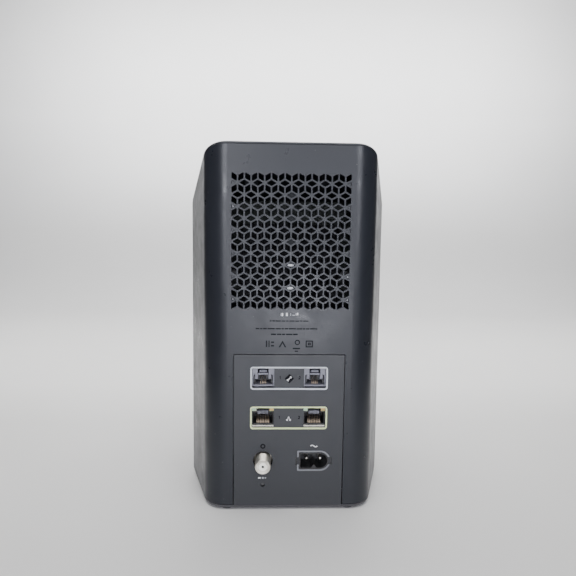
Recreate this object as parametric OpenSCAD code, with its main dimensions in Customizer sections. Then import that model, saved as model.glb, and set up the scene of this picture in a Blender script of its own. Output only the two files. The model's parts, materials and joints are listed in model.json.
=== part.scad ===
// Desktop cable modem and router: a tapered tower with a sloping top.
// +Z is up, the ports face +Y, and the origin is on the table at the centre of the bounding box.

/* [Tower body] */
// Depth from the front face to the rear face
body_d = 122; // [118:1:126]
// Half the width of the flat part of the front and rear faces
flat_half_w = 37.5; // [36.5:0.5:39]
// Radius of the four upright corners
corner_r = 15.5; // [14:0.5:17]
// Angle by which each side face splays out towards the middle of the depth
splay = 15.6; // [14:0.2:17]
// Radius of the upright crease half way along each side
crease_r = 20; // [15:1:25]
// Height of the rear top edge above the table
rear_h = 223.3; // [221:0.1:226]
// Slope of the top, falling towards the front
top_slope = 28.8; // [27:0.2:30]
// Thickness of the outer walls
wall = 2.4; // [2.2:0.1:2.6]

/* [Base] */
// Height that the rubber feet stand proud of the base plate
foot_proud = 1.0; // [0.8:0.1:1.2]
// Height of the outer shell's lower edge above the table
shell_z = 2.4; // [2.3:0.1:2.8]
// Radius of each rubber foot
foot_r = 4.5; // [4:0.1:4.8]

/* [Rear grille] */
// Length of one edge of the rhombus tiling
rhomb_edge = 4.56; // [4.5:0.01:4.6]
// Width of the struts between the vent holes
strut = 1.1; // [0.9:0.05:1.6]
// Height of the top row of lying rhombs
grille_top_z = 199.6; // [199:0.1:200]

/* [Port panel] */
// Half the width of the port panel
panel_half_w = 33.35; // [33:0.05:33.5]
// Height of the port panel's top edge above the table
panel_top_z = 97.55; // [97:0.05:98]
// Gap between the port panel and the shell around it
panel_gap = 0.5; // [0.4:0.05:0.6]
// Height of the middle of the two telephone sockets
phone_z = 83.2; // [83:0.1:84]
// Height of the middle of the two network sockets
ethernet_z = 58.5; // [58:0.1:59]
// Distance of each socket's middle from the panel's middle
jack_x = 15.75; // [15.7:0.01:15.8]
// Distance of the coaxial connector and the reset hole from the middle
coax_x = 15.5; // [15:0.1:16]
// Height of the coaxial connector and of the power inlet
coax_z = 31.3; // [31:0.1:32]
// Distance that the coaxial connector stands out of the rear face
coax_reach = 9.4; // [9:0.1:10]
// Distance of the power inlet's middle from the panel's middle
inlet_x = -15.8; // [-16:0.1:-15.5]
// Height of the reset hole
reset_z = 16; // [15.5:0.1:16.5]

/* [Hidden] */

// The tower's own planes
rear_y = (body_d - coax_reach) / 2;
front_y = rear_y - body_d;
mid_y = rear_y - body_d / 2;
tilt = tan(top_slope);
far = 400;
eps = 0.01;

// The side face meets the corner arc and the crease arc at one normal direction
side_n = [cos(splay), sin(splay)];
crease_x = flat_half_w + corner_r * side_n.x
    - (crease_r - side_n.y * (corner_r * side_n.y - corner_r + body_d / 2)) / side_n.x;

// Panel and board planes, counted forwards from the rear face
panel_face_y = rear_y - 0.15;
panel_t = 2.45;
panel_back_y = panel_face_y - panel_t;
flange_t = 1.2;
pocket_deep = 0.5;
jack_face_y = panel_back_y - 0.1;
jack_deep = 15.5;
board_rear_y = jack_face_y - jack_deep;
board_t = 1.6;
board_front_y = board_rear_y - board_t;
board_half_w = 42;
board_z0 = 12;
board_z1 = 190;

// Base plate and feet
base_z = foot_proud;
base_inset = 0.6;
base_top_z = 4;
foot_sunk = 0.6;
foot_x = 37.5;
foot_inboard = 6.2;
foot_spots = [for (x = [-foot_x, foot_x], y = [front_y + foot_inboard, rear_y - foot_inboard]) [x, y]];
boss_r = 3.4;
boss_h = 20;
screw_r = 1.25;

// Top cover: a cap as wide as the shell, with a smaller plug below it
cover_t = 2.5;
cap_t = 0.8;
cap_inset = 0.15;
cap_seam = 0.1;
cover_gap = 0.25;
hook_x = 24;
light_post_x = 11;
window_w = 14;
window_h = 2.6;
window_back = 118;

// Port openings in the panel
bezel_w = 47;
bezel_h = 14.2;
bezel_line = 0.95;
bezel_r = 1.7;
bezel_proud = 0.15;
jack_window_w = 13.4;
jack_window_h = 11.9;
jack_body_w = 15.9;
jack_body_h = 13.6;
coax_r = 4.73;
coax_hole_r = 6;
inlet_w = 18.4;
inlet_h = 10.8;
inlet_wall = 0.9;
inlet_deep = 13.5;
pin_pitch = 8.6;
pin_r = 1.2;
pin_root_r = 0.9;
reset_hole_r = 1.3;
reset_stem_r = 1.0;

shell_c = [0.27, 0.285, 0.315];
panel_c = [0.25, 0.265, 0.295];
black_c = [0.06, 0.06, 0.065];
metal_c = [0.78, 0.77, 0.74];
gold_c = [0.83, 0.68, 0.38];
board_c = [0.10, 0.32, 0.20];
alu_c = [0.72, 0.73, 0.75];

// ---------------------------------------------------------------- outlines

function half_outline(i) = [
    [flat_half_w, rear_y - i],
    [flat_half_w, rear_y - corner_r] + (corner_r - i) * side_n,
    [crease_x, mid_y] + (crease_r - i) * side_n,
    [crease_x, mid_y] + (crease_r - i) * [side_n.x, -side_n.y],
    [flat_half_w, front_y + corner_r] + (corner_r - i) * [side_n.x, -side_n.y],
    [flat_half_w, front_y + i]];

// The tower's plan, moved inwards by i all round
module plan(i = 0) {
    right = half_outline(i);
    polygon(concat(right, [for (k = [len(right) - 1:-1:0]) [-right[k].x, right[k].y]]));
    for (x = [-1, 1]) {
        for (y = [rear_y - corner_r, front_y + corner_r])
            translate([x * flat_half_w, y]) circle(r = corner_r - i, $fn = 96);
        translate([x * crease_x, mid_y]) circle(r = crease_r - i, $fn = 96);
    }
}

module column(i, z0, z1) {
    translate([0, 0, z0]) linear_extrude(z1 - z0) plan(i);
}

// Everything between two depths below the sloping top plane
module slope_slab(deep0, deep1) {
    translate([0, rear_y, rear_h]) rotate([top_slope, 0, 0])
        translate([-far / 2, -far / 2, -deep1]) cube([far, far, deep1 - deep0]);
}

// Places children on the sloping top, back mm down the slope from the rear edge
module on_slope(back, deep = 0) {
    translate([0, rear_y, rear_h]) rotate([top_slope, 0, 0]) translate([0, -back, -deep]) children();
}

// A point on or below the sloping top, as on_slope places it
function slope_point(x, back, deep) = [x,
    rear_y - back * cos(top_slope) + deep * sin(top_slope),
    rear_h - back * sin(top_slope) - deep * cos(top_slope)];

// A rectangle with round corners, in the XY plane, centred
module round_rect(w, h, r) {
    square([w - 2 * r, h], center = true);
    square([w, h - 2 * r], center = true);
    for (x = [-1, 1], y = [-1, 1])
        translate([x * (w / 2 - r), y * (h / 2 - r)]) circle(r = r, $fn = 32);
}

// Turns a flat outline to face +Y: its X stays X, its Y becomes Z. It ends at y1 and starts at y0.
module facing(x, z, y0, y1) {
    translate([x, y1, z]) rotate([90, 0, 0]) linear_extrude(y1 - y0) children();
}

// A cylinder along Y from y0 to y1
module rod_y(x, z, r, y0, y1, fn = 48) {
    translate([x, y1, z]) rotate([90, 0, 0]) cylinder(r = r, h = y1 - y0, $fn = fn);
}

module block(x0, x1, y0, y1, z0, z1) {
    translate([x0, y0, z0]) cube([x1 - x0, y1 - y0, z1 - z0]);
}

// A block centred on x and z
module block_at(x, z, w, h, y0, y1) {
    block(x - w / 2, x + w / 2, y0, y1, z - h / 2, z + h / 2);
}

// ---------------------------------------------------------------- wires

function catmull(a, b, c, d, t) = 0.5 * ((2 * b) + (c - a) * t
    + (2 * a - 5 * b + 4 * c - d) * t * t + (3 * b - a - 3 * c + d) * t * t * t);

function smooth(p, per) = let (n = len(p) - 1) concat(
    [for (i = [0:n - 1], k = [0:per - 1])
        catmull(p[max(i - 1, 0)], p[i], p[i + 1], p[min(i + 2, n)], k / per)],
    [p[n]]);

// A wire of radius r along the smooth curve through the points p; side_on is never along the wire
module wire(p, r, side_on = [0.94, 0.25, 0.21], per = 3, sides = 8) {
    path = smooth(p, per);
    last = len(path) - 1;
    rings = [for (i = [0:last]) let (
        along = path[min(i + 1, last)] - path[max(i - 1, 0)],
        u0 = cross(along, side_on), u = u0 / norm(u0),
        v0 = cross(along, u), v = v0 / norm(v0))
        [for (k = [0:sides - 1]) path[i] + r * (cos(360 * k / sides) * u + sin(360 * k / sides) * v)]];
    polyhedron(points = [for (ring = rings) each ring],
        faces = concat([[for (k = [0:sides - 1]) k]],
            [for (i = [0:last - 1], k = [0:sides - 1]) let (j = (k + 1) % sides)
                [i * sides + j, i * sides + k, (i + 1) * sides + k, (i + 1) * sides + j]],
            [[for (k = [sides - 1:-1:0]) last * sides + k]]));
}

// ---------------------------------------------------------------- outer shell

rhomb_w = rhomb_edge * sqrt(3);
row_h = rhomb_edge * 1.5;
grille_cols = 9;
grille_rows = 11;
blind_deep = 0.9;

// A rhomb hole given by its two half diagonals, shrunk by half a strut on every side
module lying_rhomb() {
    half_w = rhomb_w / 2 - strut;
    half_h = half_w / sqrt(3);
    polygon([[half_w, 0], [0, half_h], [-half_w, 0], [0, -half_h]]);
}

// A rhomb with upright sides whose top edge rises to the right (lean 1) or falls (lean -1)
module standing_rhomb(lean) {
    half_w = rhomb_w / 4 - strut / 2;
    half_h = (rhomb_edge - strut / cos(30)) / 2;
    rise = lean * half_w * tan(30);
    polygon([[-half_w, -half_h - rise], [half_w, -half_h + rise],
        [half_w, half_h + rise], [-half_w, half_h - rise]]);
}

function lying_x(row) = [for (c = [0:grille_cols - 1 - (row % 2 == 0 ? 1 : 0)])
    (c - (grille_cols - 1) / 2 + (row % 2 == 0 ? 0.5 : 0)) * rhomb_w];
function row_z(row) = grille_top_z - row * row_h;

module through_vents() {
    for (row = [0:grille_rows - 1], x = lying_x(row))
        if (abs(x) > eps) translate([x, row_z(row)]) lying_rhomb();
    for (row = [0:grille_rows], c = [0:2 * grille_cols - 1])
        translate([(c + 0.5 - grille_cols) * rhomb_w / 2, row_z(row - 0.5)])
            standing_rhomb((c + row) % 2 == 0 ? -1 : 1);
}

// The rhombs that stay closed: the middle column, and the half rhombs at both edges
module blind_vents() {
    for (row = [1:2:grille_rows - 1]) translate([0, row_z(row)]) lying_rhomb();
    intersection() {
        for (row = [0:2:grille_rows - 1], side = [-1, 1])
            translate([side * grille_cols * rhomb_w / 2, row_z(row)]) lying_rhomb();
        translate([0, row_z(grille_rows / 2)])
            square([grille_cols * rhomb_w - strut, row_h * (grille_rows + 2)], center = true);
    }
}

module outer_shell() {
    notch_w = 2 * (panel_half_w + panel_gap);
    color(shell_c) difference() {
        union() {
            difference() {
                column(0, shell_z, rear_h);
                column(wall, 0, rear_h + 1);
            }
            // ledge that carries the top cover
            intersection() {
                difference() {
                    column(wall - eps, shell_z, rear_h);
                    column(wall + 2, 0, rear_h + 1);
                }
                slope_slab(cover_t + 0.1, cover_t + 2.6);
            }
            for (spot = foot_spots) shell_boss(spot);
        }
        slope_slab(-far / 2, cap_t + cap_seam);
        for (spot = foot_spots) translate([spot.x, spot.y, 0])
            cylinder(r = screw_r, h = base_top_z + boss_h - 4, $fn = 32);
        block(-notch_w / 2, notch_w / 2, rear_y - wall - 1, rear_y + 1,
            0, panel_top_z + panel_gap);
        facing(0, 0, rear_y - wall - 1, rear_y + 1) through_vents();
        facing(0, 0, rear_y - blind_deep, rear_y + 1) blind_vents();
    }
}

// A screw boss tied to the nearest wall
module shell_boss(spot) {
    out = spot.y > mid_y ? 1 : -1;
    z0 = base_top_z + 0.2;
    translate([spot.x, spot.y, z0]) cylinder(r = boss_r, h = boss_h, $fn = 48);
    translate([spot.x - 1.2, spot.y + (out > 0 ? 0 : -foot_inboard + wall / 2), z0])
        cube([2.4, foot_inboard - wall / 2, boss_h]);
}

// ---------------------------------------------------------------- top cover

module pill(w, h) {
    round_rect(w, h, h / 2 - eps);
}

module top_cover() {
    color(shell_c) difference() {
        union() {
            intersection() {
                column(cap_inset, shell_z, rear_h);
                slope_slab(0, cap_t);
            }
            intersection() {
                column(wall + cover_gap, shell_z, rear_h);
                slope_slab(cap_t - eps, cover_t);
            }
            // posts for the light's circuit board
            on_slope(window_back, cover_t + 5.9) for (x = [-light_post_x, light_post_x])
                translate([x, 0, 0]) cylinder(r = 1.9, h = 6.1, $fn = 32);
            // snap hooks
            for (x = [-hook_x, hook_x]) intersection() {
                on_slope(30, cover_t + 9) translate([x - 4, -0.9, 0]) cube([8, 1.8, 9.2]);
                slope_slab(cover_t - 0.2, cover_t + 9);
            }
        }
        on_slope(window_back, cover_t + 1) linear_extrude(cover_t + 2) pill(window_w, window_h);
        on_slope(window_back, cover_t + 7) for (x = [-light_post_x, light_post_x])
            translate([x, 0, 0]) cylinder(r = 0.9, h = 5, $fn = 24);
    }
}

module light_guide() {
    color([0.93, 0.94, 0.95]) on_slope(window_back, cover_t + 3.2) {
        linear_extrude(cover_t + 3.2 - 0.1) pill(window_w - 0.2, window_h - 0.2);
        translate([0, 0, 1.2]) linear_extrude(1.8) pill(window_w + 2, window_h + 1.6);
    }
}

module led_board() {
    color(board_c) on_slope(window_back, cover_t + 7.2) difference() {
        translate([-13, -5, 0]) cube([26, 10, 1.2]);
        for (x = [-light_post_x, light_post_x])
            translate([x, 0, -1]) cylinder(r = 1, h = 4, $fn = 24);
    }
}

module status_led() {
    color([0.95, 0.93, 0.80]) on_slope(window_back, cover_t + 5.95) difference() {
        translate([-2.5, -1.75, 0]) cube([5, 3.5, 1.8]);
        translate([0, 0, 1]) cylinder(r1 = 1.1, r2 = 1.4, h = 1, $fn = 32);
    }
}

// ---------------------------------------------------------------- base

module base_plate() {
    color(shell_c) difference() {
        union() {
            column(base_inset + 0.5, base_z, base_z + 0.5);
            column(base_inset, base_z + 0.5, shell_z - 0.1);
            column(wall + 0.3, shell_z - 0.1 - eps, base_top_z);
            // posts that carry the power supply
            for (s = supply_spots) translate([s.x, s.y, base_top_z - eps])
                cylinder(r = 3, h = supply_z - supply_t - 0.05 - base_top_z, $fn = 48);
        }
        for (s = supply_spots) translate([s.x, s.y, base_top_z + 0.5])
            cylinder(r = screw_r, h = supply_z, $fn = 32);
        for (spot = foot_spots) translate([spot.x, spot.y, 0]) {
            cylinder(r = foot_r + 0.1, h = base_z + foot_sunk, $fn = 64);
            cylinder(r = 2.6, h = base_z + foot_sunk + 1.2, $fn = 48);
            cylinder(r = 1.5, h = base_top_z + 1, $fn = 32);
        }
        // cooling slots
        for (row = [-1, 1], k = [-7:7])
            translate([k * 6, mid_y + row * 33, 0]) linear_extrude(base_top_z + 1)
                round_rect(2.6, 18, 1.25);
        // recess for the label
        translate([0, mid_y, base_z - 1]) linear_extrude(1.15) round_rect(64.4, 38.4, 2);
    }
}

module rubber_feet() {
    color(black_c) for (spot = foot_spots) translate([spot.x, spot.y, 0]) {
        cylinder(r1 = foot_r - 0.3, r2 = foot_r, h = 0.3, $fn = 64);
        translate([0, 0, 0.3 - eps]) cylinder(r = foot_r, h = base_z + foot_sunk - 0.3, $fn = 64);
    }
}

module base_screws() {
    color(metal_c) for (spot = foot_spots) translate([spot.x, spot.y, base_z + foot_sunk + 0.1])
        difference() {
            union() {
                cylinder(r = 2.4, h = 1.05, $fn = 48);
                cylinder(r = screw_r - 0.05, h = 14, $fn = 32);
            }
            for (a = [0, 90]) rotate(a) translate([-1.4, -0.25, -1]) cube([2.8, 0.5, 1.6]);
        }
}

module base_label() {
    color([0.86, 0.86, 0.84]) translate([0, mid_y, base_z + 0.02]) linear_extrude(0.12)
        round_rect(64, 38, 1.8);
}

// ---------------------------------------------------------------- port panel

// The inlet's outline: square corners towards +X, a round end towards -X
module inlet_shape(w, h) {
    r = h / 2;
    translate([-w / 2 + r, 0]) circle(r = r, $fn = 64);
    translate([-w / 2 + r, -h / 2]) square([w - r - 0.6, h]);
    translate([w / 2 - 1, 0]) square([2, h - 1.2], center = true);
    for (y = [-1, 1]) translate([w / 2 - 0.6, y * (h / 2 - 0.6)]) circle(r = 0.6, $fn = 24);
}

module io_panel() {
    pocket_y = panel_face_y - pocket_deep;
    color(panel_c) difference() {
        union() {
            facing(0, (panel_top_z + shell_z + 0.05) / 2, panel_back_y, panel_face_y)
                round_rect(2 * panel_half_w, panel_top_z - shell_z - 0.05, 0.8);
            // rim that catches behind the shell's notch
            difference() {
                block(-panel_half_w - 2.8, panel_half_w + 2.8, panel_back_y - flange_t,
                    panel_back_y + eps, shell_z + boss_h + 12, panel_top_z + 2.6);
                block(-panel_half_w + 3, panel_half_w - 3, panel_back_y - flange_t - 1,
                    panel_back_y, 0, panel_top_z - 3);
            }
        }
        for (z = [phone_z, ethernet_z]) {
            facing(0, z, pocket_y, rear_y + 1)
                round_rect(bezel_w - eps, bezel_h - eps, bezel_r);
            for (x = [-jack_x, jack_x]) {
                facing(x, z, panel_back_y - 3, rear_y)
                    round_rect(jack_window_w, jack_window_h, 0.6);
                block_at(x, z, jack_body_w + 0.5, jack_body_h + 0.5, panel_back_y - 3, panel_back_y);
            }
        }
        rod_y(coax_x, coax_z, coax_hole_r, panel_back_y - 3, rear_y + 1, 64);
        rod_y(coax_x, reset_z, reset_hole_r, panel_back_y - 3, rear_y + 1);
        facing(inlet_x, coax_z, panel_back_y - 3, rear_y + 1)
            inlet_shape(inlet_w + 0.2, inlet_h + 0.2);
        for (side = [-1, 1]) block_at(inlet_x + side * (inlet_w / 2 + 1.5), coax_z, 0.9, 4.8,
            panel_back_y - 3, rear_y + 1);
        facing(inlet_x, coax_z, panel_face_y - 0.3, rear_y + 1)
            inlet_shape(inlet_w + 2.04, inlet_h + 2.04);
    }
}

// A thin coloured frame set into the panel round a group of sockets
module port_bezel(z) {
    facing(0, z, panel_face_y - pocket_deep, panel_face_y + bezel_proud) difference() {
        round_rect(bezel_w - 0.05, bezel_h - 0.05, bezel_r);
        round_rect(bezel_w - 2 * bezel_line, bezel_h - 2 * bezel_line, bezel_r - bezel_line);
    }
}

module phone_port_bezel() {
    color([0.72, 0.73, 0.75]) port_bezel(phone_z);
}

module ethernet_port_bezel() {
    color([0.76, 0.80, 0.58]) port_bezel(ethernet_z);
}

module power_inlet_bezel() {
    color([0.50, 0.51, 0.54]) facing(inlet_x, coax_z, panel_face_y - 0.3, panel_face_y + bezel_proud)
        difference() {
            inlet_shape(inlet_w + 2, inlet_h + 2);
            inlet_shape(inlet_w + 0.3, inlet_h + 0.3);
            square([far, 4.8], center = true);
        }
}

// ---------------------------------------------------------------- sockets

contact_pitch = 1.02;
contact_rise = 18;
jack_floor = 1.1;

// A socket's block with its cavity: the plug's space below and the latch's slot above
module jack_block(x, z, plug_w, plug_top, latch_w, body_w, body_h, face_y) {
    inner_deep = 13;
    floor_z = z - jack_window_h / 2 + jack_floor;
    difference() {
        block_at(x, z, body_w, body_h, board_rear_y + 0.05, face_y);
        block(x - plug_w / 2, x + plug_w / 2, jack_face_y - inner_deep, jack_face_y + 1,
            floor_z, z + plug_top);
        block(x - latch_w / 2, x + latch_w / 2, jack_face_y - inner_deep + 3, jack_face_y + 1,
            z, z + jack_window_h / 2 - 0.7);
    }
}

// Spring contacts rising from the front of the socket's floor to its back
module contacts(x, z, count) {
    floor_z = z - jack_window_h / 2 + jack_floor;
    for (k = [0:count - 1])
        translate([x + (k - (count - 1) / 2) * contact_pitch, jack_face_y - 1.2, floor_z + 0.25])
            rotate([-contact_rise, 0, 0]) translate([-0.23, -9.4, 0]) cube([0.46, 9.4, 0.32]);
}

module phone_jack(x) {
    color([0.52, 0.53, 0.55]) difference() {
        jack_block(x, phone_z, 10.4, 1.8, 6.2, jack_body_w, jack_body_h, jack_face_y);
        // stepped shoulder above the plug's space
        block(x - 3.9, x + 3.9, jack_face_y - 9, jack_face_y + 1, phone_z + 1.7, phone_z + 3.2);
    }
}

module phone_jack_1() {
    phone_jack(jack_x);
}

module phone_jack_2() {
    phone_jack(-jack_x);
}

module phone_jack_contacts() {
    color(gold_c) for (x = [-jack_x, jack_x]) contacts(x, phone_z, 4);
}

shield_t = 0.35;
lens_w = 2.9;
lens_h = 2.1;

// The plastic body of a network socket, with a corner cut out for each light
module ethernet_jack(x) {
    color(black_c) difference() {
        jack_block(x, ethernet_z, 11.8, 2.4, 6, jack_body_w - 2 * shield_t - 0.1,
            jack_body_h - 2 * shield_t - 0.1, jack_face_y - shield_t - 0.05);
        for (side = [-1, 1]) lens_space(x, side, 0.05);
    }
}

module ethernet_jack_1() {
    ethernet_jack(jack_x);
}

module ethernet_jack_2() {
    ethernet_jack(-jack_x);
}

module lens_space(x, side, gap) {
    block_at(x + side * (jack_window_w / 2 - lens_w / 2 + 0.3), ethernet_z + jack_window_h / 2 - 1.35,
        lens_w + 2 * gap, lens_h + 2 * gap, jack_face_y - 8 - gap, jack_face_y + (gap > 0 ? 1 : -0.1));
}

module link_light_lenses() {
    color([0.70, 0.86, 0.70]) for (x = [-jack_x, jack_x]) lens_space(x, 1, 0);
}

module activity_light_lenses() {
    color([0.84, 0.72, 0.36]) for (x = [-jack_x, jack_x]) lens_space(x, -1, 0);
}

// The folded metal shield round a network socket, open at the front, with a lip below the opening
module ethernet_shield(x) {
    lip_w = jack_window_w - 0.4;
    lip_z = ethernet_z - jack_window_h / 2 + 0.1;
    color(metal_c) {
        difference() {
            block_at(x, ethernet_z, jack_body_w, jack_body_h, board_rear_y + 0.05, jack_face_y);
            block_at(x, ethernet_z, jack_body_w - 2 * shield_t, jack_body_h - 2 * shield_t,
                board_rear_y - 1, jack_face_y + 1);
        }
        // the lip folds up over the plastic's edge and then outwards
        block(x - lip_w / 2, x + lip_w / 2, jack_face_y - shield_t, jack_face_y,
            ethernet_z - jack_body_h / 2, lip_z + 0.8);
        block(x - lip_w / 2, x + lip_w / 2, jack_face_y - eps, jack_face_y + 1.2, lip_z, lip_z + 0.8);
    }
}

module ethernet_shield_1() {
    ethernet_shield(jack_x);
}

module ethernet_shield_2() {
    ethernet_shield(-jack_x);
}

module ethernet_jack_contacts() {
    color(gold_c) for (x = [-jack_x, jack_x]) contacts(x, ethernet_z, 8);
}

// ---------------------------------------------------------------- coaxial connector

coax_tip_y = rear_y + coax_reach;
coax_insulator_r = 2.5;
coax_collar_y = panel_face_y - 1.5;

module coax_connector() {
    color(metal_c) difference() {
        union() {
            rod_y(coax_x, coax_z, coax_r, coax_collar_y - 1, coax_tip_y - 0.5, 96);
            rod_y(coax_x, coax_z, coax_hole_r - 0.35, board_rear_y + 3, coax_collar_y, 96);
            translate([coax_x, coax_tip_y, coax_z]) rotate([90, 0, 0])
                cylinder(r1 = coax_r - 0.5, r2 = coax_r, h = 0.5 + eps, $fn = 96);
            facing(coax_x, coax_z, board_rear_y + 0.05, board_rear_y + 6) round_rect(13, 13, 1);
            // hexagon that the spanner holds, inside the panel
            facing(coax_x, coax_z, board_rear_y + 5, board_rear_y + 9) circle(r = 6.2, $fn = 6);
        }
        rod_y(coax_x, coax_z, coax_insulator_r, board_rear_y - 1, coax_tip_y + 1, 64);
        rod_y(coax_x, coax_z, 3.4, coax_tip_y - 0.35, coax_tip_y + 1, 64);
    }
}

module coax_insulator() {
    color([0.95, 0.94, 0.88]) difference() {
        rod_y(coax_x, coax_z, coax_insulator_r - 0.02, board_rear_y + 0.1, coax_tip_y - 0.25, 64);
        rod_y(coax_x, coax_z, 0.6, coax_tip_y - 6, coax_tip_y + 1, 32);
        rod_y(coax_x, coax_z, 0.95, board_rear_y, coax_tip_y - 6 + eps, 32);
    }
}

module coax_contact() {
    color(gold_c) difference() {
        rod_y(coax_x, coax_z, 0.9, board_rear_y + 0.1, coax_tip_y - 6.1, 32);
        rod_y(coax_x, coax_z, 0.55, coax_tip_y - 14, coax_tip_y, 32);
    }
}

// ---------------------------------------------------------------- power inlet

inlet_face_y = panel_face_y + 0.05;

// Triangular ribs that give the inlet its waist
module inlet_waist() {
    in_h = inlet_h / 2 - inlet_wall + eps;
    polygon([[-1.7, -in_h], [1.7, -in_h], [0, -in_h + 2.3]]);
    polygon([[-1.2, in_h], [1.2, in_h], [0, in_h - 1.5]]);
}

module power_inlet() {
    floor_y = inlet_face_y - inlet_deep;
    color(black_c) difference() {
        union() {
            difference() {
                facing(inlet_x, coax_z, floor_y - 1.6, inlet_face_y) inlet_shape(inlet_w, inlet_h);
                facing(inlet_x, coax_z, floor_y, inlet_face_y + 1) difference() {
                    inlet_shape(inlet_w - 2 * inlet_wall, inlet_h - 2 * inlet_wall);
                    inlet_waist();
                }
            }
            // flange behind the panel, with a snap tab at each end
            difference() {
                block_at(inlet_x, coax_z, inlet_w + 4.6, inlet_h + 2.4,
                    panel_back_y - 2.4, panel_back_y - 0.1);
                facing(inlet_x, coax_z, floor_y, inlet_face_y + 1)
                    inlet_shape(inlet_w - 2 * inlet_wall, inlet_h - 2 * inlet_wall);
            }
            for (side = [-1, 1]) block_at(inlet_x + side * (inlet_w / 2 + 1.5), coax_z, 0.7, 4.6,
                panel_back_y - 1, panel_face_y - 0.4);
        }
        for (side = [-1, 1])
            rod_y(inlet_x + side * pin_pitch / 2, coax_z, pin_root_r + 0.05, floor_y - 5, floor_y + 1);
    }
}

// Each pin has a round nose, a thinner root inside the plastic, and a solder tag behind it
module power_inlet_pins() {
    floor_y = inlet_face_y - inlet_deep;
    nose_y = inlet_face_y - 4.7;
    color(metal_c) for (side = [-1, 1]) translate([inlet_x + side * pin_pitch / 2, 0, 0]) {
        rod_y(0, coax_z, pin_r, floor_y + 0.05, nose_y);
        translate([0, nose_y, coax_z]) sphere(r = pin_r, $fn = 48);
        rod_y(0, coax_z, pin_root_r, floor_y - 1.8, floor_y + 0.1);
        block_at(0, coax_z, 1.4, 0.7, floor_y - 3.4, floor_y - 1.7);
    }
}

module power_inlet_leads() {
    start_y = inlet_face_y - inlet_deep - 2.8;
    for (side = [-1, 1]) color(side > 0 ? [0.10, 0.10, 0.11] : [0.55, 0.57, 0.60]) {
        x = inlet_x + side * pin_pitch / 2;
        wire([[x, start_y, coax_z - 0.4], [x, start_y - 0.2, coax_z - 3], [x, start_y - 0.8, coax_z - 8],
            [x, 33, coax_z - 13.5], [x, 27, coax_z - 14], [x, 23, coax_z - 15], [x, 21.5, 14.9]], 0.9);
    }
}

// ---------------------------------------------------------------- reset button

reset_y = panel_face_y - 1.2;

module reset_button() {
    color([0.75, 0.75, 0.74]) {
        rod_y(coax_x, reset_z, reset_stem_r, board_rear_y + 2.9, reset_y);
        rod_y(coax_x, reset_z, 1.9, board_rear_y + 6.5, board_rear_y + 7.5);
    }
}

module reset_switch() {
    color(black_c) difference() {
        block_at(coax_x, reset_z, 6, 6, board_rear_y + 0.05, board_rear_y + 3.8);
        rod_y(coax_x, reset_z, reset_stem_r + 0.05, board_rear_y + 2.3, board_rear_y + 6);
    }
}

// ---------------------------------------------------------------- frame and main board

rail_x0 = 38.8;
rail_x1 = 45.8;
frame_y0 = 29.5;
frame_y1 = board_front_y - 0.1;
board_screw_spots = [for (x = [-40.2, 40.2], z = [22, 104, 182]) [x, z]];
heatsink_screw_spots = [for (x = [-34.5, 34.5], z = [68, 145]) [x, z]];
lead_notch = [-24, -8, 26];

module inner_frame() {
    color(black_c) difference() {
        union() {
            for (side = [-1, 1]) {
                block(side > 0 ? rail_x0 : -rail_x1, side > 0 ? rail_x1 : -rail_x0,
                    frame_y0, frame_y1, base_top_z + 0.1, board_z1);
                // lip that wraps the board's edge
                block(side > 0 ? board_half_w + 0.2 : -rail_x1, side > 0 ? rail_x1 : -board_half_w - 0.2,
                    frame_y0, board_rear_y + 1.5, base_top_z + 0.1, board_z1);
            }
            block(-rail_x1, rail_x1, frame_y0, frame_y1, board_z1 - 4, board_z1);
            block(-rail_x1, rail_x1, frame_y0, frame_y1, base_top_z + 0.1, base_top_z + 3.5);
            block(-rail_x1, rail_x1, frame_y0, frame_y1, 151, 154);
        }
        for (s = board_screw_spots) rod_y(s.x, s[1], screw_r, frame_y0 - 1, frame_y1 + 1, 32);
    }
}

module main_board() {
    color(board_c) difference() {
        block(-board_half_w, board_half_w, board_front_y, board_rear_y, board_z0, board_z1);
        block(lead_notch[0], lead_notch[1], board_front_y - 1, board_rear_y + 1,
            board_z0 - 1, lead_notch[2]);
        for (s = board_screw_spots) rod_y(s.x, s[1], 1.5, board_front_y - 1, board_rear_y + 1, 32);
        for (s = heatsink_screw_spots) rod_y(s.x, s[1], 1.6, board_front_y - 1, board_rear_y + 1, 32);
    }
}

// A pan-head screw driven forwards into the board from behind
module board_screw(x, z, r, head_r, length) {
    difference() {
        union() {
            rod_y(x, z, r, board_rear_y - length, board_rear_y + 0.1, 32);
            rod_y(x, z, head_r, board_rear_y + 0.05, board_rear_y + 1.7, 48);
        }
        for (w = [[2.6, 0.5], [0.5, 2.6]])
            block_at(x, z, w[0], w[1], board_rear_y + 0.9, board_rear_y + 3);
    }
}

module board_screws() {
    color(metal_c) for (s = board_screw_spots) board_screw(s.x, s[1], screw_r - 0.05, 1.75, 7.5);
}

module heatsink_screws() {
    color(metal_c) for (s = heatsink_screw_spots) board_screw(s.x, s[1], 1.4, 2.8, 6);
}

// ---------------------------------------------------------------- main board parts

sink_back_y = board_front_y - 4;
sink_base_t = 3;
sink_z0 = 62;
sink_z1 = 150;
sink_half_w = 38;
fin_count = 13;
fin_t = 1.2;
fin_deep = 21;

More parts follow.
